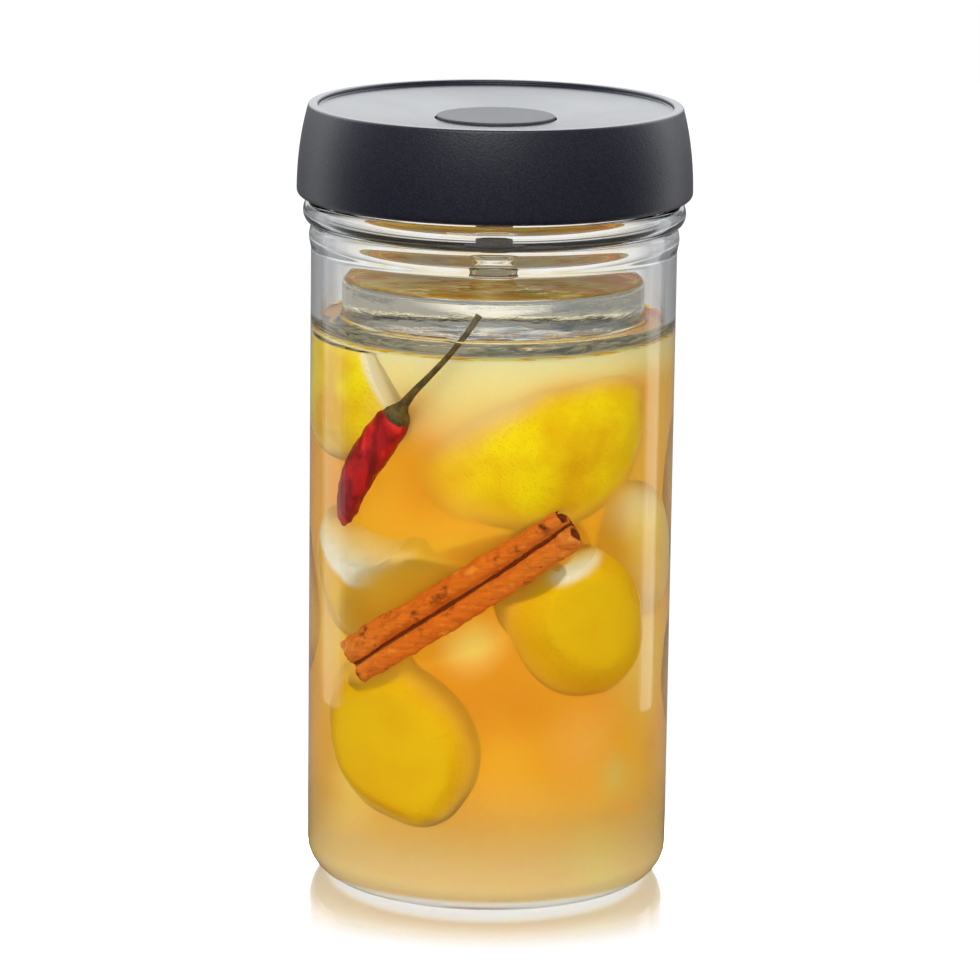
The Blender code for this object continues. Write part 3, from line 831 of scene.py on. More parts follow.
def turned(name, corners, closed=False, steps=TURN_STEPS):
    """Spins an outline that is given by its corners and their roundings."""
    return lathe(name, rounded(corners, closed), closed, steps)


def towards_glass(point, along):
    """Direction from the jar's axis to a point, made square to another direction."""
    outwards = Vector((point.x, point.y, 0.0))
    return (outwards - along * outwards.dot(along)).normalized()


def make_room(piece, start, end, reach, deep, slope=1.5):
    """Presses a groove with sloping banks into a piece, open towards the glass, for what lies between two points."""
    start, end = Vector(start), Vector(end)
    along = (end - start).normalized()
    for vertex in piece.data.vertices:
        share = max(0.0, min((end - start).length, (vertex.co - start).dot(along)))
        nearest = start + along * share
        outwards = towards_glass(nearest, along)
        offset = vertex.co - nearest
        out = offset.dot(outwards)
        side = (offset - outwards * out).length / reach
        floor = -deep * math.sqrt(1.0 - side * side) if side < 1.0 else (side - 1.0) * reach * slope
        if out > floor:
            vertex.co -= outwards * (out - floor)


def write_share(piece, name, measure):
    """Writes a share from 0 to 1 on each point of a piece, by a measure of its place and its number."""
    shares = piece.data.attributes.new(name, "FLOAT", "POINT")
    for index, vertex in enumerate(piece.data.vertices):
        shares.data[index].value = max(0.0, min(1.0, measure(vertex.co, index)))


def add_lumps(piece, name, scale, depth, strength):
    """Adds a modifier that pushes a surface in and out by soft random lumps."""
    lumps = bpy.data.textures.new(name, "CLOUDS")
    lumps.noise_scale = scale
    lumps.noise_depth = depth
    push = piece.modifiers.new(name, "DISPLACE")
    push.texture = lumps
    push.texture_coords = "LOCAL"
    push.strength = strength


def round_edges(piece, width, segments, angle=30):
    """Adds a modifier that rounds the edges of a piece that are sharper than an angle."""
    rounding = piece.modifiers.new("edges", "BEVEL")
    rounding.width = width
    rounding.segments = segments
    rounding.angle_limit = math.radians(angle)


def apply_modifiers(piece):
    """Applies a piece's modifiers in their order."""
    pick(piece)
    for modifier in list(piece.modifiers):
        bpy.ops.object.modifier_apply(modifier=modifier.name)


def give_second_finish(piece, wanted):
    """Gives a piece's second finish to the faces whose centre and normal pass a test."""
    pick(piece)
    edit_mode()
    bpy.ops.mesh.select_mode(type="FACE")
    bpy.ops.mesh.select_all(action="DESELECT")
    object_mode()
    for face in piece.data.polygons:
        face.select = wanted(face.center, face.normal)
    edit_mode()
    piece.active_material_index = 1
    bpy.ops.object.material_slot_assign()
    object_mode()


def settle(piece, body, finishes, stands_for=(), angle=35):
    """Shades a finished piece smooth up to an angle, gives it its finishes and lets it ride on a body."""
    pick(piece)
    bpy.ops.object.shade_smooth_by_angle(angle=math.radians(angle))
    for finish in finishes:
        piece.data.materials.append(finish)
    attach(piece, body)
    if stands_for:
        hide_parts(*stands_for)
    return piece


def glow_through(piece):
    """Lets light that is scattered about in the cloudy brine reach its neighbours round a piece."""
    piece.visible_shadow = False
    piece.visible_diffuse = False


def raise_thread(piece, radius, height, arc):
    """Pushes the thread of every start out of a plain turned wall, running out softly at its ends."""
    group = piece.vertex_groups.new(name="thread")
    pitch = 2 * math.pi / THREAD_STARTS
    for vertex in piece.data.vertices:
        x, y, z = vertex.co
        if abs(math.hypot(x, y) - radius) > 0.00002:
            continue
        turn = (math.atan2(y, x) + pitch / 2) % pitch - pitch / 2
        level = height + THREAD_LEAD * turn / (2 * math.pi)
        across = (THREAD_ROOT / 2 - abs(z - level)) / (THREAD_ROOT / 2 - THREAD_CREST / 2)
        along = (arc / 2 - abs(turn)) / THREAD_RUNOUT
        if across > 0 and along > 0:
            group.add([vertex.index], min(1.0, across) * min(1.0, along), "REPLACE")
    push = piece.modifiers.new("thread", "DISPLACE")
    push.vertex_group = group.name
    push.mid_level = 0.0
    push.strength = THREAD_DEPTH
    apply_modifiers(piece)
    piece.vertex_groups.clear()


# Glass

class JAR_OT_glass_jar(bpy.types.Operator):
    """Turns the glass jar with its heel, neck ridge, bead and screw thread"""

    bl_idname = "jar.glass_jar"
    bl_label = "Glass jar"

    def execute(self, context):
        level = sizes().brine_level
        thread_top = BEAD_TOP + 0.0140
        thread_foot = BEAD_TOP + 0.0050
        bead_middle = (RIDGE_TOP + BEAD_TOP) / 2
        bead_steps = 20
        outline = rounded([
            (0.0, FLOOR_TOP),
            (INNER_RADIUS, FLOOR_TOP, INNER_HEEL_ROUND),
            (INNER_RADIUS, level),
            (INNER_RADIUS, SHOULDER),
        ])
        outline += between(
            (INNER_RADIUS, (SHOULDER + RIDGE_TOP) / 2),
            (INNER_RADIUS, BEAD_TOP),
            12,
            lambda share: (MOUTH_RADIUS - INNER_RADIUS) * (1 - math.cos(math.pi * share)) / 2,
        )
        outline += rounded([
            (MOUTH_RADIUS, BEAD_TOP),
            (MOUTH_RADIUS, JAR_RIM, LIP_ROUND),
            (FINISH_RADIUS, JAR_RIM, LIP_ROUND),
            (FINISH_RADIUS, thread_top),
        ])[1:]
        outline += between((FINISH_RADIUS, thread_top), (FINISH_RADIUS, thread_foot), 30)[1:]
        outline += [(FINISH_RADIUS, BEAD_TOP)]
        for step in range(bead_steps + 1):
            angle = math.pi * (0.5 - step / bead_steps)
            height = bead_middle + (BEAD_TOP - RIDGE_TOP) / 2 * math.sin(angle)
            outline.append((BODY_RADIUS + BEAD_RISE * math.cos(angle), height))
        outline += between(
            (BODY_RADIUS, RIDGE_TOP),
            (BODY_RADIUS, SHOULDER),
            16,
            lambda share: RIDGE_RISE * (1 - math.cos(2 * math.pi * share)) / 2,
        )[1:]
        outline += rounded([
            (BODY_RADIUS, SHOULDER),
            (BODY_RADIUS, 0.0, HEEL_ROUND),
            (PUNT_RADIUS, 0.0, PUNT_ROUND),
            (PUNT_RADIUS - PUNT_DEPTH, PUNT_DEPTH, PUNT_ROUND),
            (0.0, PUNT_DEPTH),
        ])[1:]
        jar = lathe("clear_jar", outline)
        raise_thread(jar, FINISH_RADIUS, THREAD_HEIGHT, THREAD_ARC)
        jar.data.materials.append(clear_glass("clear_glass"))
        jar.data.materials.append(clear_glass("wetted_glass", GLASS_REFRACTION / BRINE_REFRACTION, WETTED_WAVE))
        give_second_finish(jar, self.is_wetted)
        settle(jar, "jar", [], ["glass_jar"])
        return {"FINISHED"}

    def is_wetted(self, centre, normal):
        """Tells the faces of the inner wall and floor that the brine touches."""
        below_level = FLOOR_TOP - 0.001 < centre.z < sizes().brine_level
        on_inside = math.hypot(centre.x, centre.y) < INNER_RADIUS + 0.0005 and normal.z > -0.01
        looks_in = normal.z > 0.5 or normal.x * centre.x + normal.y * centre.y < 0
        return below_level and on_inside and looks_in


class JAR_OT_glass_weight(bpy.types.Operator):
    """Turns the glass weight with its knob"""

    bl_idname = "jar.glass_weight"
    bl_label = "Glass weight"

    def execute(self, context):
        radius, _, knob_top = WEIGHT_HIGH
        bottom = WEIGHT_LOW.z
        top = bottom + WEIGHT_BODY
        knob_middle = (knob_top + top) / 2
        weight = turned("clear_weight", [
            (0.0, knob_top),
            (KNOB_RADIUS, knob_top, (knob_top - knob_middle) * 0.8),
            (KNOB_RADIUS, knob_middle, 0.0006),
            (KNOB_NECK, knob_middle - 0.0017, 0.0006),
            (KNOB_NECK, top, 0.00144),
            (radius, top, 0.0020),
            (radius, sizes().brine_level),
            (radius, bottom, 0.0030),
            (0.0, bottom),
        ])
        weight.data.materials.append(pressed_glass("pressed_glass"))
        weight.data.materials.append(pressed_glass("wetted_weight", GLASS_REFRACTION / BRINE_REFRACTION))
        give_second_finish(weight, lambda centre, normal: centre.z < sizes().brine_level)
        settle(weight, "weight", [], ["glass_weight"], angle=50)
        return {"FINISHED"}


# Lid

class JAR_OT_lid_cover(bpy.types.Operator):
    """Turns the lid's outer shell with its recessed top"""

    bl_idname = "jar.lid_cover"
    bl_label = "Lid cover"

    def execute(self, context):
        top = COVER_HIGH.z
        bottom = COVER_LOW.z
        rim = crown_radius(top)
        recess = rim - 0.0028
        lap_top = bottom + 0.0008
        collar_bottom = PLATE_BOTTOM - 0.0050
        outside = [bottom + (top - bottom) * share / 24 for share in range(23, 2, -1)]
        inside = [lap_top + (PLATE_BOTTOM - lap_top) * share / 16 for share in range(17)]
        cover = turned("charcoal_cover", [
            (COLLAR_INNER, PLATE_TOP, 0.0003),
            (COLLAR_OUTER, PLATE_TOP, 0.0080),
            (recess, PLATE_EDGE, 0.0005),
            (recess, top, 0.0007),
            (rim, top, 0.0008),
            *[(crown_radius(height), height) for height in outside],
            (crown_radius(bottom), bottom, 0.0017),
            (LINER_RADIUS, bottom, 0.0003),
            (LINER_RADIUS, lap_top),
            *[(crown_radius(height) - COVER_WALL, height) for height in inside],
            (COLLAR_OUTER, PLATE_BOTTOM),
            (COLLAR_OUTER, collar_bottom),
            (COLLAR_INNER, collar_bottom),
        ], closed=True)
        plastic = moulded_plastic("charcoal_plastic", colours().lid, 0.30, grain=0.0001)
        settle(cover, "lid", [plastic], ["lid_cover"])
        return {"FINISHED"}


class JAR_OT_lid_inside(bpy.types.Operator):
    """Turns the threaded liner and the rim gasket"""

    bl_idname = "jar.lid_inside"
    bl_label = "Liner and gasket"

    def execute(self, context):
        self.make_liner()
        self.make_gasket()
        return {"FINISHED"}

    def make_liner(self):
        """Inner cup with the thread lugs and the well for the valve."""
        low = LINER_LOW.z
        foot = low + 0.0016
        foot_radius = LINER_HIGH.x
        well_outside = WELL_RADIUS + 0.0014
        liner = turned("threaded_liner", [
            (TUBE_HOLE, WELL_FLOOR_TOP, 0.0002),
            (WELL_RADIUS, WELL_FLOOR_TOP, 0.0006),
            (WELL_RADIUS, CEILING_TOP, 0.0002),
            (LINER_RADIUS, CEILING_TOP, 0.0004),
            (LINER_RADIUS, foot, 0.0002),
            (foot_radius, foot, 0.0002),
            (foot_radius, low, 0.0003),
            (BORE_RADIUS, low, 0.0003),
            *between((BORE_RADIUS, low + 0.0030), (BORE_RADIUS, CEILING_BOTTOM - 0.0060), 36),
            (BORE_RADIUS, CEILING_BOTTOM, 0.0003),
            (well_outside, CEILING_BOTTOM, 0.0006),
            (well_outside, WELL_FLOOR_BOTTOM, 0.0011),
            (TUBE_HOLE, WELL_FLOOR_BOTTOM, 0.0002),
        ], closed=True)
        raise_thread(liner, BORE_RADIUS, LUG_HEIGHT, LUG_ARC)
        plastic = moulded_plastic("liner_plastic", colours().liner, 0.50, grain_scale=900.0)
        settle(liner, "lid", [plastic], ["lid_liner"])

    def make_gasket(self):
        """Silicone ring with the lip that plugs the mouth."""
        outer, _, top = GASKET_HIGH
        seat = JAR_RIM + FIT_GAP
        low = GASKET_LOW.z
        lip = MOUTH_RADIUS - FIT_GAP
        lip_inside = lip - 0.0010
        gasket = turned("silicone_gasket", [
            (lip_inside, top, 0.0003),
            (outer, top, 0.0004),
            (outer, seat, 0.0004),
            (lip, seat, 0.0004),
            (lip, low, 0.0003),
            (lip_inside, low, 0.0003),
        ], closed=True)
        silicone = soft_silicone("clear_silicone", colours().seal, 0.42)
        settle(gasket, "rim_seal", [silicone], ["rim_gasket"])


# Vent

class JAR_OT_vent_button(bpy.types.Operator):
    """Turns the push button"""

    bl_idname = "jar.vent_button"
    bl_label = "Vent button"

    def execute(self, context):
        radius, _, face = BUTTON_HIGH
        underside = face - 0.0016
        skirt = underside - 0.0045
        skirt_inside = radius - 0.0014
        boss = 0.0029
        bore = 0.0020
        button = turned("push_button", [
            (0.0, face - 0.00012),
            (radius - 0.0030, face, 0.0015),
            (radius, face, 0.0005),
            (radius, skirt, 0.0003),
            (skirt_inside, skirt, 0.0003),
            (skirt_inside, underside, 0.0006),
            (boss, underside, 0.0005),
            (boss, BUTTON_LOW.z, 0.0002),
            (bore, BUTTON_LOW.z, 0.0002),
            (bore, STEM_HIGH.z + FIT_GAP),
            (0.0, STEM_HIGH.z + FIT_GAP),
        ])
        plastic = moulded_plastic("button_plastic", colours().button, 0.52, grain_scale=1800.0)
        settle(button, "vent", [plastic], ["vent_button"])
        return {"FINISHED"}


class JAR_OT_valve(bpy.types.Operator):
    """Makes the valve's tube, washer, nut, rod and disc"""

    bl_idname = "jar.valve"
    bl_label = "Valve"

    def execute(self, context):
        plastic = moulded_plastic("valve_plastic", colours().valve, 0.42, grain_scale=1200.0)
        silicone = soft_silicone("dark_silicone", (0.11, 0.11, 0.12), 0.5)
        settle(self.make_tube(), "lid", [plastic], ["valve_housing"])
        settle(self.make_nut(), "lid", [plastic], ["housing_nut"])
        settle(self.make_rod(), "vent", [plastic], ["valve_stem"])
        washer = self.make_ring("tube_washer", TUBE_HOLE, WASHER_HIGH.x, WASHER_LOW.z, WASHER_HIGH.z, 0.0002)
        settle(washer, "lid", [silicone], ["housing_washer"])
        disc = self.make_ring("valve_seal", 0.0020, DISC_HIGH.x, DISC_LOW.z, DISC_HIGH.z, 0.0004)
        settle(disc, "vent", [silicone], ["valve_disc"])
        return {"FINISHED"}

    def make_ring(self, name, inner, outer, low, high, rounding):
        """Flat ring."""
        return turned(name, [
            (inner, high, rounding / 2),
            (outer, high, rounding),
            (outer, low, rounding),
            (inner, low, rounding / 2),
        ], closed=True, steps=SMALL_TURN_STEPS)

    def make_tube(self):
        """Flanged tube with three ribs that guide the rod."""
        outer = 0.0055
        flange, _, top = TUBE_HIGH
        seat = top - 0.0015
        low = TUBE_LOW.z
        tube = turned("valve_tube", [
            (TUBE_BORE, top, 0.0002),
            (flange, top, 0.0005),
            (flange, seat, 0.0002),
            (outer, seat, 0.0003),
            (outer, low, 0.0003),
            (TUBE_BORE, low, 0.0003),
        ], closed=True, steps=SMALL_TURN_STEPS)
        rib_middle = 0.00285
        for rib in range(3):
            angle = 2 * math.pi * rib / 3
            deselect()
            bpy.ops.mesh.primitive_cube_add(
                size=1.0,
                location=(rib_middle * math.cos(angle), rib_middle * math.sin(angle), low + 0.0070),
                rotation=(0, 0, angle),
                scale=(0.0017, 0.0009, 0.0100),
            )
            round_edges(bpy.context.object, 0.0002, 2)
            apply_modifiers(bpy.context.object)
            bpy.ops.object.transform_apply()
            tube.select_set(True)
            bpy.context.view_layer.objects.active = tube
            bpy.ops.object.join()
        return tube

    def make_nut(self):
        """Hexagon nut with rounded corners."""
        height = NUT_HIGH.z - NUT_LOW.z
        middle = (0, 0, (NUT_HIGH.z + NUT_LOW.z) / 2)
        deselect()
        bpy.ops.mesh.primitive_cylinder_add(vertices=6, radius=NUT_HIGH.y, depth=height, location=middle)
        nut = named("tube_nut")
        bpy.ops.object.transform_apply()
        bpy.ops.mesh.primitive_cylinder_add(
            vertices=SMALL_TURN_STEPS, radius=TUBE_HOLE, depth=height * 2, location=middle
        )
        drill = named("nut_drill")
        cut = nut.modifiers.new("bore", "BOOLEAN")
        cut.operation = "DIFFERENCE"
        cut.object = drill
        round_edges(nut, 0.0003, 3, angle=40)
        apply_modifiers(nut)
        bpy.data.objects.remove(drill)
        return nut

    def make_rod(self):
        """Rod from the button down to the foot that carries the disc."""
        foot = STEM_LOW.z + 0.0010
        return turned("valve_rod", [
            (0.0, STEM_HIGH.z),
            (ROD_RADIUS, STEM_HIGH.z, 0.0005),
            (ROD_RADIUS, foot, 0.0002),
            (STEM_HIGH.x, foot, 0.0002),
            (STEM_HIGH.x, STEM_LOW.z, 0.0006),
            (0.0, STEM_LOW.z),
        ], steps=SMALL_TURN_STEPS)


class JAR_OT_return_spring(bpy.types.Operator):
    """Winds the return spring"""

    bl_idname = "jar.return_spring"
    bl_label = "Return spring"

    def execute(self, context):
        turns = sizes().spring_turns
        height = SPRING_HIGH.z - SPRING_LOW.z
        deselect()
        bpy.ops.mesh.primitive_circle_add(
            vertices=14,
            radius=WIRE_RADIUS,
            fill_type="NGON",
            location=(COIL_RADIUS, 0, SPRING_LOW.z + WIRE_RADIUS),
            rotation=(math.pi / 2, 0, 0),
        )
        spring = named("button_spring")
        bpy.ops.object.transform_apply()
        winding = spring.modifiers.new("winding", "SCREW")
        winding.steps = 40
        winding.render_steps = 40
        winding.iterations = turns
        winding.screw_offset = (height - 2 * WIRE_RADIUS) / turns
        apply_modifiers(spring)
        close_seams()
        settle(spring, "lid", [spring_wire()], ["return_spring"])
        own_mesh(spring)
        return {"FINISHED"}


# Places of the contents
STICK_LEFT = (-0.0365, -0.0250, 0.0700)
STICK_RIGHT = (0.0213, -0.0385, 0.1160)
ROLL_RADIUS = 0.0034
ROLL_TURNS = 1.70
ROLL_PITCH = 0.0013
ROLL_WAVE = 0.0002
# Width and depth of the painted shade in the seam and inside the rolls, and the outer skin of bark that it leaves
# unshaded
SEAM_WIDTH = 0.0010
SEAM_DEPTH = 0.0012
BARK_SKIN = 0.0006

# Grooves for the stick: how far they reach to each side, how deep they are, and the slope of their banks
LEMON_GROOVE = (0.0066, 0.0036)
CORE_GROOVE = (0.0070, 0.0040)
CORE_BANK = 0.7
GENTLE_BANK = 1.0
STEEP_BANK = 3.0

# Tints, spots and fruit
# Spots of painted light and painted shade on the cloudy brine, and tints of food seen through it
TINTS = (
    # tint of the cloudy brine, middle of the tinted place, how far it reaches
    ("haze_white", (-0.0290, -0.0275, 0.1560), 0.015),
    ("haze_top_light", (-0.0110, -0.0380, 0.1590), 0.030),
    ("haze_top_light", (0.0020, -0.0399, 0.1637), 0.022),
    ("haze_shade", (-0.0163, -0.0365, 0.1287), 0.016),
    ("haze_shade", (0.0087, -0.0390, 0.0620), 0.018),
    ("haze_glow", (-0.0051, -0.0396, 0.0816), 0.013),
    ("haze_orange", (0.0270, -0.0295, 0.0485), 0.020),
    ("haze_glow", (-0.0439, -0.0096, 0.0730), 0.022),
    ("haze_glow", (0.0440, -0.0060, 0.0713), 0.032),
    ("haze_glow", (-0.0400, -0.0250, 0.0330), 0.020),
    ("haze_white", (0.0370, -0.0200, 0.1180), 0.013),
    ("haze_green", (0.0345, -0.0230, 0.0370), 0.013),
    ("haze_orange", (0.0370, -0.0190, 0.0255), 0.006),
    ("haze_green", (0.0290, -0.0316, 0.0130), 0.019),
    ("haze_glow", (0.0200, 0.0345, 0.0900), 0.016),
    ("haze_orange", (-0.0220, 0.0334, 0.0500), 0.020),
    ("haze_top_light", (-0.0100, 0.0387, 0.1560), 0.024),
)
OPEN_SPOTS = (
    # middle of a cut end that shows through the clear brine, how far the cloudy brine keeps away from it
    ((0.0160, -0.0335, 0.1050), 0.0115),
)
FLESH = (
    # middle of a cut end that shows flesh within its pith, and its size
    ((0.0155, -0.0345, 0.1062), 0.0078),
)
STEEP_BANKS = (
    # lemons whose groove for the stick has steep banks, so that the cut end beside the stick stays whole
    "lemon_2",
)
NUBS = (
    # stalk end of a lemon that shows, and its size
    ((-0.0155, -0.0420, 0.0258), 0.0048),
)
LEMONS = (
    # name, centre, direction of its tip, width, length, what is cut off its tip, depths where the brine veils it
    ("lemon_1", (0.0069, -0.0183, 0.1350), (1.00, -0.08, 0.76), 0.0560, 0.0740, 0.0, 0.0048, 0.0106),
    ("lemon_2", (0.0210, -0.0255, 0.0855), (-0.26, -0.40, 1.00), 0.0415, 0.0560, 0.0066, 0.005, 0.0130),
    ("lemon_3", (-0.0225, -0.0160, 0.0960), (-0.55, -0.42, 0.74), 0.0480, 0.0600, 0.0115, -0.001, 0.0095),
    ("lemon_4", (-0.0270, -0.0100, 0.1520), (0.50, -0.75, 0.42), 0.0480, 0.0600, 0.0140, 0.001, 0.0100),
    ("lemon_5", (-0.0195, -0.0235, 0.0500), (0.13, -0.60, -0.79), 0.0480, 0.0610, 0.0, 0.0020, 0.0098),
    ("lemon_6", (0.0275, -0.0070, 0.1010), (0.12, -0.60, 1.00), 0.0400, 0.0600, 0.0, -0.002, 0.0080),
    ("lemon_7", (-0.0080, 0.0265, 0.1300), (-0.80, 0.25, 0.50), 0.0450, 0.0600, 0.0, 0.003, 0.0105),
    ("lemon_8", (0.0220, 0.0210, 0.0560), (0.75, 0.20, 0.60), 0.0440, 0.0600, 0.0085, 0.003, 0.0105),
    ("lemon_9", (-0.0240, 0.0190, 0.0800), (-0.20, 0.60, 0.90), 0.0450, 0.0600, 0.0080, 0.003, 0.0105),
    ("lemon_10", (0.0250, 0.0190, 0.1180), (0.50, 0.30, -0.80), 0.0430, 0.0580, 0.0, 0.003, 0.0105),
    ("lemon_11", (-0.0080, 0.0250, 0.0340), (0.90, 0.30, -0.20), 0.0430, 0.0580, 0.0080, 0.003, 0.0105),
)
CHILLI_POD = (
    # place and radius, from the cap to the tip
    (-0.0258, -0.0364, 0.1472, 0.0040),
    (-0.0270, -0.0352, 0.1450, 0.0052),
    (-0.0298, -0.0330, 0.1405, 0.0056),
    (-0.0330, -0.0303, 0.1350, 0.0055),
    (-0.0358, -0.0278, 0.1290, 0.0053),
    (-0.0380, -0.0256, 0.1225, 0.0048),
    (-0.0393, -0.0240, 0.1170, 0.0038),
    (-0.0397, -0.0232, 0.1135, 0.0026),
    (-0.0398, -0.0228, 0.1115, 0.0008),
)
CHILLI_STALK = (
    # place and radius, from the cap to the end
    (-0.0262, -0.0360, 0.1466, 0.0043),
    (-0.0256, -0.0366, 0.1480, 0.0039),
    (-0.0250, -0.0374, 0.1494, 0.0026),
    (-0.0240, -0.0386, 0.1514, 0.0015),
    (-0.0218, -0.0408, 0.1550, 0.0011),
    (-0.0170, -0.0440, 0.1610, 0.0009),
    (-0.0120, -0.0460, 0.1672, 0.0008),
    (-0.0075, -0.0474, 0.1735, 0.0008),
    (-0.0045, -0.0479, 0.1782, 0.0009),
    (-0.0040, -0.0480, 0.1790, 0.0011),
)


# Contents

class JAR_OT_brine(bpy.types.Operator):
    """Fills the jar with clear amber brine round a cloudy core"""

    bl_idname = "jar.brine"
    bl_label = "Brine"

    def execute(self, context):
        level = sizes().brine_level
        bottom = FLOOR_TOP + BRINE_GAP
        wall = INNER_RADIUS - BRINE_GAP
        hollow = WEIGHT_HIGH.x + FIT_GAP
        under = WEIGHT_LOW.z - FIT_GAP
        steps = 20
        steepness = 3.2
        outline = rounded([(0.0, bottom), (wall, bottom, INNER_HEEL_ROUND), (wall, level)])
        for step in range(steps + 1):
            share = step / steps
            creep = max(1 - share * steepness, 1 - (1 - share) * steepness, 0.0) ** 2
            outline.append((wall + (hollow - wall) * share, level + sizes().meniscus * creep))
        outline += rounded([(hollow, level), (hollow, under, 0.0030), (0.0, under)])[1:]
        settle(lathe("brine", outline), "jar", [brine_liquid()])
        self.make_core()
        return {"FINISHED"}

    def make_core(self):
        """Cloudy middle of the brine, which fills the foot of the jar and gives way to the food in front of it."""
        radius = sizes().haze_radius
        core = turned("brine_haze", [
            (0.0, HAZE_LOW),
            (INNER_RADIUS - 0.0008, HAZE_LOW, 0.0050),
            (INNER_RADIUS - 0.0030, 0.0140, 0.0060),
            (radius + 0.0015, 0.0270, 0.0120),
            *[(radius, CORE_RINGS_LOW + CORE_RING_STEP * step) for step in range(CORE_RINGS)],
            (radius, HAZE_TOP - 0.0150),
            (radius + 0.0030, HAZE_TOP, 0.0015),
            (0.0, HAZE_TOP),
        ], steps=CORE_TURN_STEPS)
        make_room(core, STICK_LEFT, STICK_RIGHT, *CORE_GROOVE, CORE_BANK)
        for spot, reach in OPEN_SPOTS:
            make_room(core, spot, Vector(spot) + Vector((0.0, 0.0, 0.001)), reach, reach)
        settle(core, "jar", [haze_finish()], angle=180)
        glow_through(core)


class JAR_OT_lemons(bpy.types.Operator):
    """Packs whole lemons, some with an end cut off, against the glass"""

    bl_idname = "jar.lemons"
    bl_label = "Lemons"

    def execute(self, context):
        finishes = [lemon_peel(), lemon_pith()]
        for index, (name, centre, direction, width, length, cut, clear, veiled) in enumerate(LEMONS):
            lemon = self.grow(name, width, length, index)
            if cut:
                self.cut_end(lemon, length / 2 - cut)
            steep = name in STEEP_BANKS
            if steep:
                edit_all(lemon)
                bpy.ops.mesh.subdivide(number_cuts=2)
                object_mode()
            turn = Vector(direction).to_track_quat("Z", "Y")
            lemon.data.transform(Matrix.LocRotScale(Vector(centre), turn, None))
            before = [vertex.co.copy() for vertex in lemon.data.vertices]
            make_room(lemon, STICK_LEFT, STICK_RIGHT, *LEMON_GROOVE, STEEP_BANK if steep else GENTLE_BANK)
            self.keep_inside(lemon)
            self.write_veil(lemon, before, clear, veiled)
            settle(lemon, "jar", finishes, angle=60)
            glow_through(lemon)
        return {"FINISHED"}

    def write_veil(self, lemon, before, clear, veiled):
        """Writes how far each point was pressed out of its place, and how far the brine hides it."""
        full_press = 0.0015
        write_share(lemon, "pressed", lambda place, index: (place - before[index]).length / full_press)
        write_share(
            lemon,
            "haze",
            lambda place, index: (INNER_RADIUS - math.hypot(place.x, place.y) - clear) / (veiled - clear),
        )

    def keep_inside(self, lemon):
        """Flattens the lemon softly where it leans on the glass or on the jar's floor."""
        soft = 0.0020
        free = INNER_RADIUS - 0.0004 - soft
        for vertex in lemon.data.vertices:
            radius = math.hypot(vertex.co.x, vertex.co.y)
            if radius > free:
                allowed = free + soft * (1 - math.exp(-(radius - free) / soft))
                vertex.co.x *= allowed / radius
                vertex.co.y *= allowed / radius
            vertex.co.z = min(max(vertex.co.z, FLOOR_TOP + 0.0010), WEIGHT_LOW.z - 0.0015)

    def grow(self, name, width, length, seed):
        """One lemon along Z, with a blunt neck at its stalk and a nipple at its tip."""
        def swell(rise, distance, reach):
            return rise * math.exp(-(distance / reach) ** 1.2)

        outline = []
        steps = 56
        for step in range(steps + 1):
            angle = math.pi * step / steps
            along = -math.cos(angle)
            girth = math.sin(angle) ** 0.92 if 0 < step < steps else 0.0
            stretch = 1 + swell(0.10, 1 - along, 0.07) + swell(0.06, 1 + along, 0.06)
            outline.append((width / 2 * girth, length / 2.2 * along * stretch))
        lemon = lathe(name, outline, steps=96)
        add_lumps(lemon, name + "_lumps", 0.022, 1, 0.0030)
        apart = Matrix.Translation((0.31 * seed, 0.17 * seed, 0.0))
        lemon.data.transform(apart)
        apply_modifiers(lemon)
        lemon.data.transform(apart.inverted())
        return lemon

    def cut_end(self, lemon, height):
        """Slices the tip off and softens the rim of the cut."""
        rim_width = 0.0026
        facing = Vector((0.10, 0.05, 1.0))
        middle = Vector((0.0, 0.0, height))
        edit_all(lemon)
        bpy.ops.mesh.bisect(plane_co=middle, plane_no=facing, use_fill=True, clear_outer=True)
        bpy.ops.mesh.inset(thickness=0.0012, depth=0.0005)
        bpy.ops.mesh.inset(thickness=0.0025, depth=0.0004)
        object_mode()
        for face in lemon.data.polygons:
            if face.center.z > height - 0.0060 and face.normal.z > 0.85:
                face.material_index = 1
        facing.normalize()
        write_share(lemon, "rim", lambda place, index: 1.0 - (middle - place).dot(facing) / rim_width)


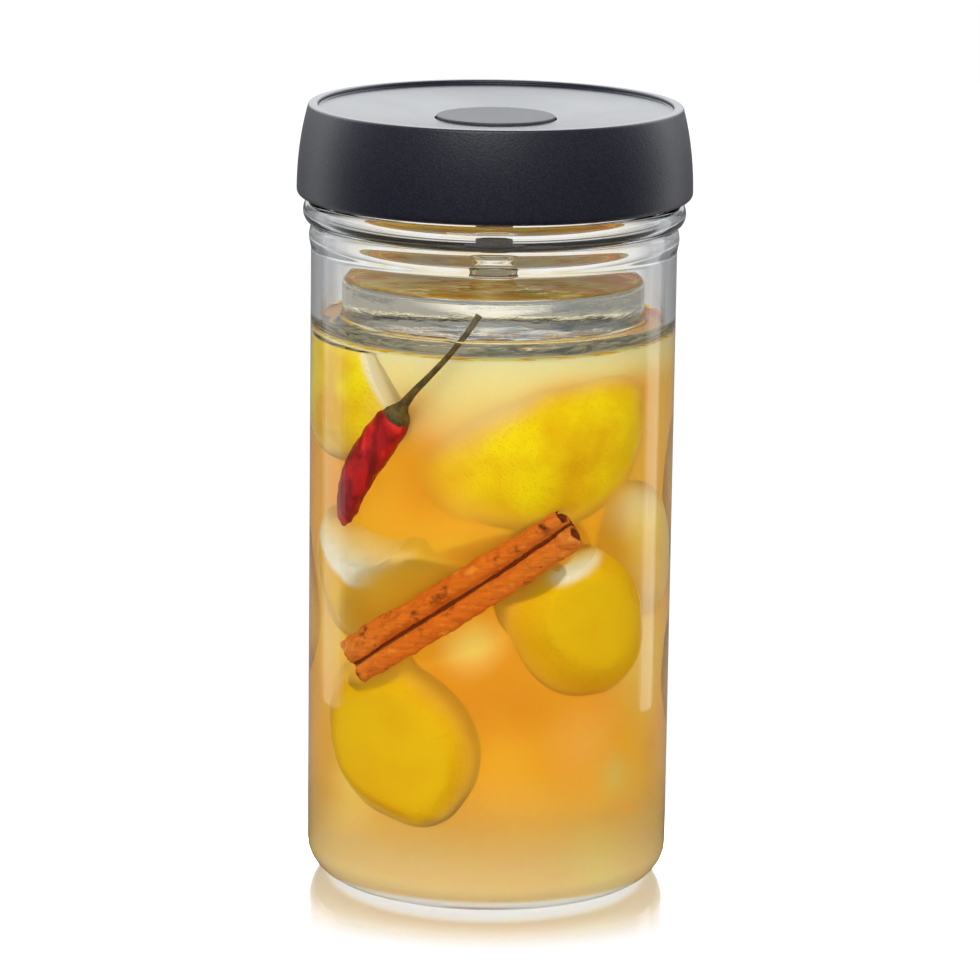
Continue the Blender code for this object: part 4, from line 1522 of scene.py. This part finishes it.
class JAR_OT_cinnamon(bpy.types.Operator):
    """Rolls a cinnamon stick from a sheet of bark"""

    bl_idname = "jar.cinnamon"
    bl_label = "Cinnamon"

    def execute(self, context):
        left = Vector(STICK_LEFT)
        right = Vector(STICK_RIGHT)
        direction = (right - left).normalized()
        length = (right - left).length
        steps = 60
        draw_line([*reversed(self.roll(-1)), *self.roll(1)])
        for step in range(steps):
            bpy.ops.mesh.extrude_region_move(TRANSFORM_OT_translate={"value": (length / steps, 0, 0)})
        object_mode()
        stick = named("cinnamon_stick")
        wall = stick.modifiers.new("bark", "SOLIDIFY")
        wall.thickness = sizes().stick_thickness
        wall.offset = -1.0
        wall.use_even_offset = True
        split = stick.modifiers.new("density", "SUBSURF")
        split.levels = 1
        split.render_levels = 1
        add_lumps(stick, "bark_swell", 0.0120, 2, 0.0030)
        add_lumps(stick, "bark_relief", 0.0030, 2, 0.0012)
        apply_modifiers(stick)
        write_share(stick, "cleft_shade", self.cleft_shade)
        outwards = towards_glass((left + right) / 2, direction)
        turn = Matrix((direction, outwards.cross(direction), outwards)).transposed().to_4x4()
        stick.data.transform(Matrix.Translation(left) @ turn)
        settle(stick, "jar", [cinnamon_bark(direction)], angle=50)
        glow_through(stick)
        return {"FINISHED"}

    def cleft_shade(self, place, index):
        """How deep a place lies in the seam between the two rolls or inside them, which sets the painted shade there.
        """
        across = abs(place.y)
        inside = ROLL_RADIUS - BARK_SKIN - math.hypot(across - ROLL_RADIUS, place.z)
        return max(1.0 - across / SEAM_WIDTH, inside / SEAM_DEPTH)

    def roll(self, side):
        """One half of the sheet, from its middle round the outside and inwards to its rolled edge."""
        points = []
        steps = 45
        full_turn = 2 * math.pi
        for step in range(steps + 1):
            turn = full_turn * ROLL_TURNS * step / steps
            past = max(0.0, turn - math.pi) / full_turn
            radius = ROLL_RADIUS - ROLL_PITCH * past - ROLL_WAVE * math.sin(3 * turn + side)
            points.append((0.0, side * (ROLL_RADIUS + radius * math.sin(turn)), -radius * math.cos(turn)))
        return points


class JAR_OT_chilli(bpy.types.Operator):
    """Makes the dried chilli with its cap and stalk"""

    bl_idname = "jar.chilli"
    bl_label = "Chilli"

    def execute(self, context):
        red = self.tube("chilli_pod", CHILLI_POD, 28)
        add_lumps(red, "chilli_folds", 0.0045, 1, 0.0012)
        apply_modifiers(red)
        settle(red, "jar", [chilli_skin()], angle=180)
        glow_through(red)
        green = self.tube("chilli_stalk", CHILLI_STALK, 18)
        settle(green, "jar", [chilli_stalk()], angle=180)
        return {"FINISHED"}

    def tube(self, name, path, sides):
        """Closed tube of changing thickness along a path of (x, y, z, radius)."""
        deselect()
        bpy.ops.curve.primitive_bezier_curve_add()
        curve = bpy.context.object
        curve.data.splines.clear()
        curve.data.dimensions = "3D"
        curve.data.resolution_u = 10
        curve.data.bevel_depth = 1.0
        curve.data.bevel_resolution = sides // 4
        curve.data.use_fill_caps = True
        spline = curve.data.splines.new("BEZIER")
        spline.bezier_points.add(len(path) - 1)
        for point, (x, y, z, radius) in zip(spline.bezier_points, path):
            point.co = (x, y, z)
            point.radius = radius
            point.handle_left_type = "AUTO"
            point.handle_right_type = "AUTO"
        bpy.ops.object.convert(target="MESH")
        piece = named(name)
        bpy.ops.object.transform_apply()
        close_seams()
        return piece


# Stage

class JAR_OT_stage(bpy.types.Operator):
    """Sets up the floor, the light and the camera"""

    bl_idname = "jar.stage"
    bl_label = "Floor, light and camera"

    def execute(self, context):
        context.scene.view_settings.view_transform = "Standard"
        self.make_floor(context)
        self.make_studio(context)
        self.make_lamps(context)
        self.make_camera(context)
        return {"FINISHED"}

    def make_floor(self, context):
        """Plain white floor that mirrors a little close to the jar."""
        deselect()
        bpy.ops.mesh.primitive_plane_add(size=10.0)
        floor = named("floor")
        finish = Finish("white_floor", Base_Color=(0.22, 0.22, 0.22), Roughness=0.9, Specular_IOR_Level=0.0)
        x, y, _ = finish.split(finish.place)
        seen = finish.ray("Is Camera Ray")
        white = finish.node("ShaderNodeAddShader", inputs={0: finish.surface, 1: finish.glow(seen * 0.80)})
        behind = finish.ease(y, 0.02, 0.12, 0.06, 0.24)
        white = finish.blend(finish.ray("Is Glossy Ray"), white, finish.glow(behind))
        aside = finish.ease(abs(x), 0.10, 0.34, 1.0, 0.42).most(finish.ray("Diffuse Depth")).least(1.0)
        white = finish.blend(finish.ray("Is Transmission Ray"), white, finish.glow(aside))
        distance = (x * x + y * y) ** 0.5
        polish = finish.ease(distance, 0.090, 0.058, 0.0, context.scene.jar_stage.floor_polish) * seen
        mirror = finish.node("ShaderNodeBsdfGlossy", inputs={"Color": WHITE, "Roughness": 0.02})
        finish.show(finish.blend(polish, white, mirror))
        floor.data.materials.append(finish.material)

    def make_studio(self, context):
        """White backdrop for what is seen, a shaded one for what the glass shows, and an even light for the rest."""
        world = bpy.data.worlds.new("studio")
        context.scene.world = world
        world.use_nodes = True
        world.node_tree.nodes.clear()
        room = NodeTree(world.node_tree)
        _, y, z = room.split(room.node("ShaderNodeTexCoord", output="Generated"))
        camera_ray = room.ray("Is Camera Ray")
        unscattered = 1.0 - room.ray("Diffuse Depth").least(1.0)
        through = room.ray("Is Transmission Ray") * unscattered
        mirrored = room.ray("Is Glossy Ray") * unscattered
        sky = room.ease(z, 0.05, 0.44, 0.60, 2.35) * room.ease(z, 0.90, 0.66, 0.25, 1.0)
        sky = sky * room.ease(y, -0.10, 0.50, 0.12, 1.0)
        behind = room.ease(z, 0.00, 0.07, 1.0, 0.32)
        rest = (1.0 - mirrored.most(through)) * context.scene.jar_stage.room_light
        unseen = (1.0 - through) * mirrored * sky + through * behind + rest
        strength = camera_ray + (1.0 - camera_ray) * unseen
        glow = room.node("ShaderNodeBackground", inputs={"Color": (0.94, 0.975, 1.0), "Strength": strength})
        seen = room.node("ShaderNodeBackground", inputs={"Color": WHITE, "Strength": 1.0})
        end = world.node_tree.nodes.new("ShaderNodeOutputWorld")
        room.fill(end.inputs["Surface"], room.blend(camera_ray, glow, seen))

    def make_lamps(self, context):
        """A large soft light above the camera, upright ones on each side and a wide one behind."""
        stage = context.scene.jar_stage
        lamps = (
            ("front_light", (-0.20, -1.25, 1.35), (1.1, 0.8), stage.key_power),
            ("left_light", (-0.184, 0.057, 0.205), (0.066, 0.40), stage.side_power),
            ("left_glow", (-0.186, 0.058, 0.205), (0.096, 0.40), stage.side_power),
            ("right_light", (0.182, 0.061, 0.205), (0.044, 0.40), stage.side_power),
            ("right_glow", (0.184, 0.062, 0.205), (0.062, 0.40), stage.side_power),
            ("back_light", (0.0, 1.70, 0.55), (1.60, 0.70), stage.back_power),
        )
        for name, place, (wide, high), power in lamps:
            deselect()
            target = Vector((0.0, 0.0, place[2] if high > wide else 0.11))
            aim = (target - Vector(place)).to_track_quat("-Z", "Y")
            bpy.ops.object.light_add(type="AREA", location=place, rotation=aim.to_euler())
            lamp = named(name)
            lamp.data.shape = "RECTANGLE"
            lamp.data.size = wide
            lamp.data.size_y = high
            lamp.data.energy = power
            lamp.visible_camera = False
            lamp.visible_transmission = False

    def make_camera(self, context):
        """Long lens from slightly above, with the small roll of the photograph."""
        deselect()
        turn = Quaternion((1, 0, 0), CAMERA_TILT) @ Quaternion((0, 0, 1), CAMERA_ROLL)
        bpy.ops.object.camera_add(location=CAMERA_PLACE, rotation=turn.to_euler())
        camera = named("camera")
        camera.data.sensor_width = 36.0
        camera.data.lens = CAMERA_LENS
        camera.data.shift_x = CAMERA_SHIFT
        camera.data.clip_start = 0.05
        camera.data.clip_end = 50.0
        context.scene.camera = camera


# Panel

class JAR_PT_panel(bpy.types.Panel):
    """Lists the steps that build the jar, with its sizes and colours"""

    bl_idname = "JAR_PT_panel"
    bl_label = "Fermentation jar"
    bl_space_type = "VIEW_3D"
    bl_region_type = "UI"
    bl_category = "Jar"

    def draw(self, context):
        for step in OPERATORS:
            self.layout.operator(step.bl_idname)
        for group in (context.scene.jar_sizes, context.scene.jar_colours, context.scene.jar_stage):
            box = self.layout.box()
            for name in group.bl_rna.properties.keys():
                if name not in ("rna_type", "name"):
                    box.prop(group, name)


SETTINGS = (JarSizes, JarColours, StageSettings)
OPERATORS = (
    JAR_OT_stage,
    JAR_OT_glass_jar,
    JAR_OT_glass_weight,
    JAR_OT_lid_cover,
    JAR_OT_lid_inside,
    JAR_OT_vent_button,
    JAR_OT_valve,
    JAR_OT_return_spring,
    JAR_OT_brine,
    JAR_OT_lemons,
    JAR_OT_cinnamon,
    JAR_OT_chilli,
)


def register():
    """Registers the classes and the scene's settings."""
    for item in (*SETTINGS, *OPERATORS, JAR_PT_panel):
        bpy.utils.register_class(item)
    bpy.types.Scene.jar_sizes = PointerProperty(type=JarSizes)
    bpy.types.Scene.jar_colours = PointerProperty(type=JarColours)
    bpy.types.Scene.jar_stage = PointerProperty(type=StageSettings)


def unregister():
    """Removes the settings and the classes."""
    del bpy.types.Scene.jar_stage
    del bpy.types.Scene.jar_colours
    del bpy.types.Scene.jar_sizes
    for item in reversed((*SETTINGS, *OPERATORS, JAR_PT_panel)):
        bpy.utils.unregister_class(item)


def main():
    """Builds every piece."""
    register()
    bpy.ops.jar.stage()
    bpy.ops.jar.glass_jar()
    bpy.ops.jar.glass_weight()
    bpy.ops.jar.lid_cover()
    bpy.ops.jar.lid_inside()
    bpy.ops.jar.vent_button()
    bpy.ops.jar.valve()
    bpy.ops.jar.return_spring()
    bpy.ops.jar.brine()
    bpy.ops.jar.lemons()
    bpy.ops.jar.cinnamon()
    bpy.ops.jar.chilli()
    deselect()


if __name__ == "__main__":
    main()
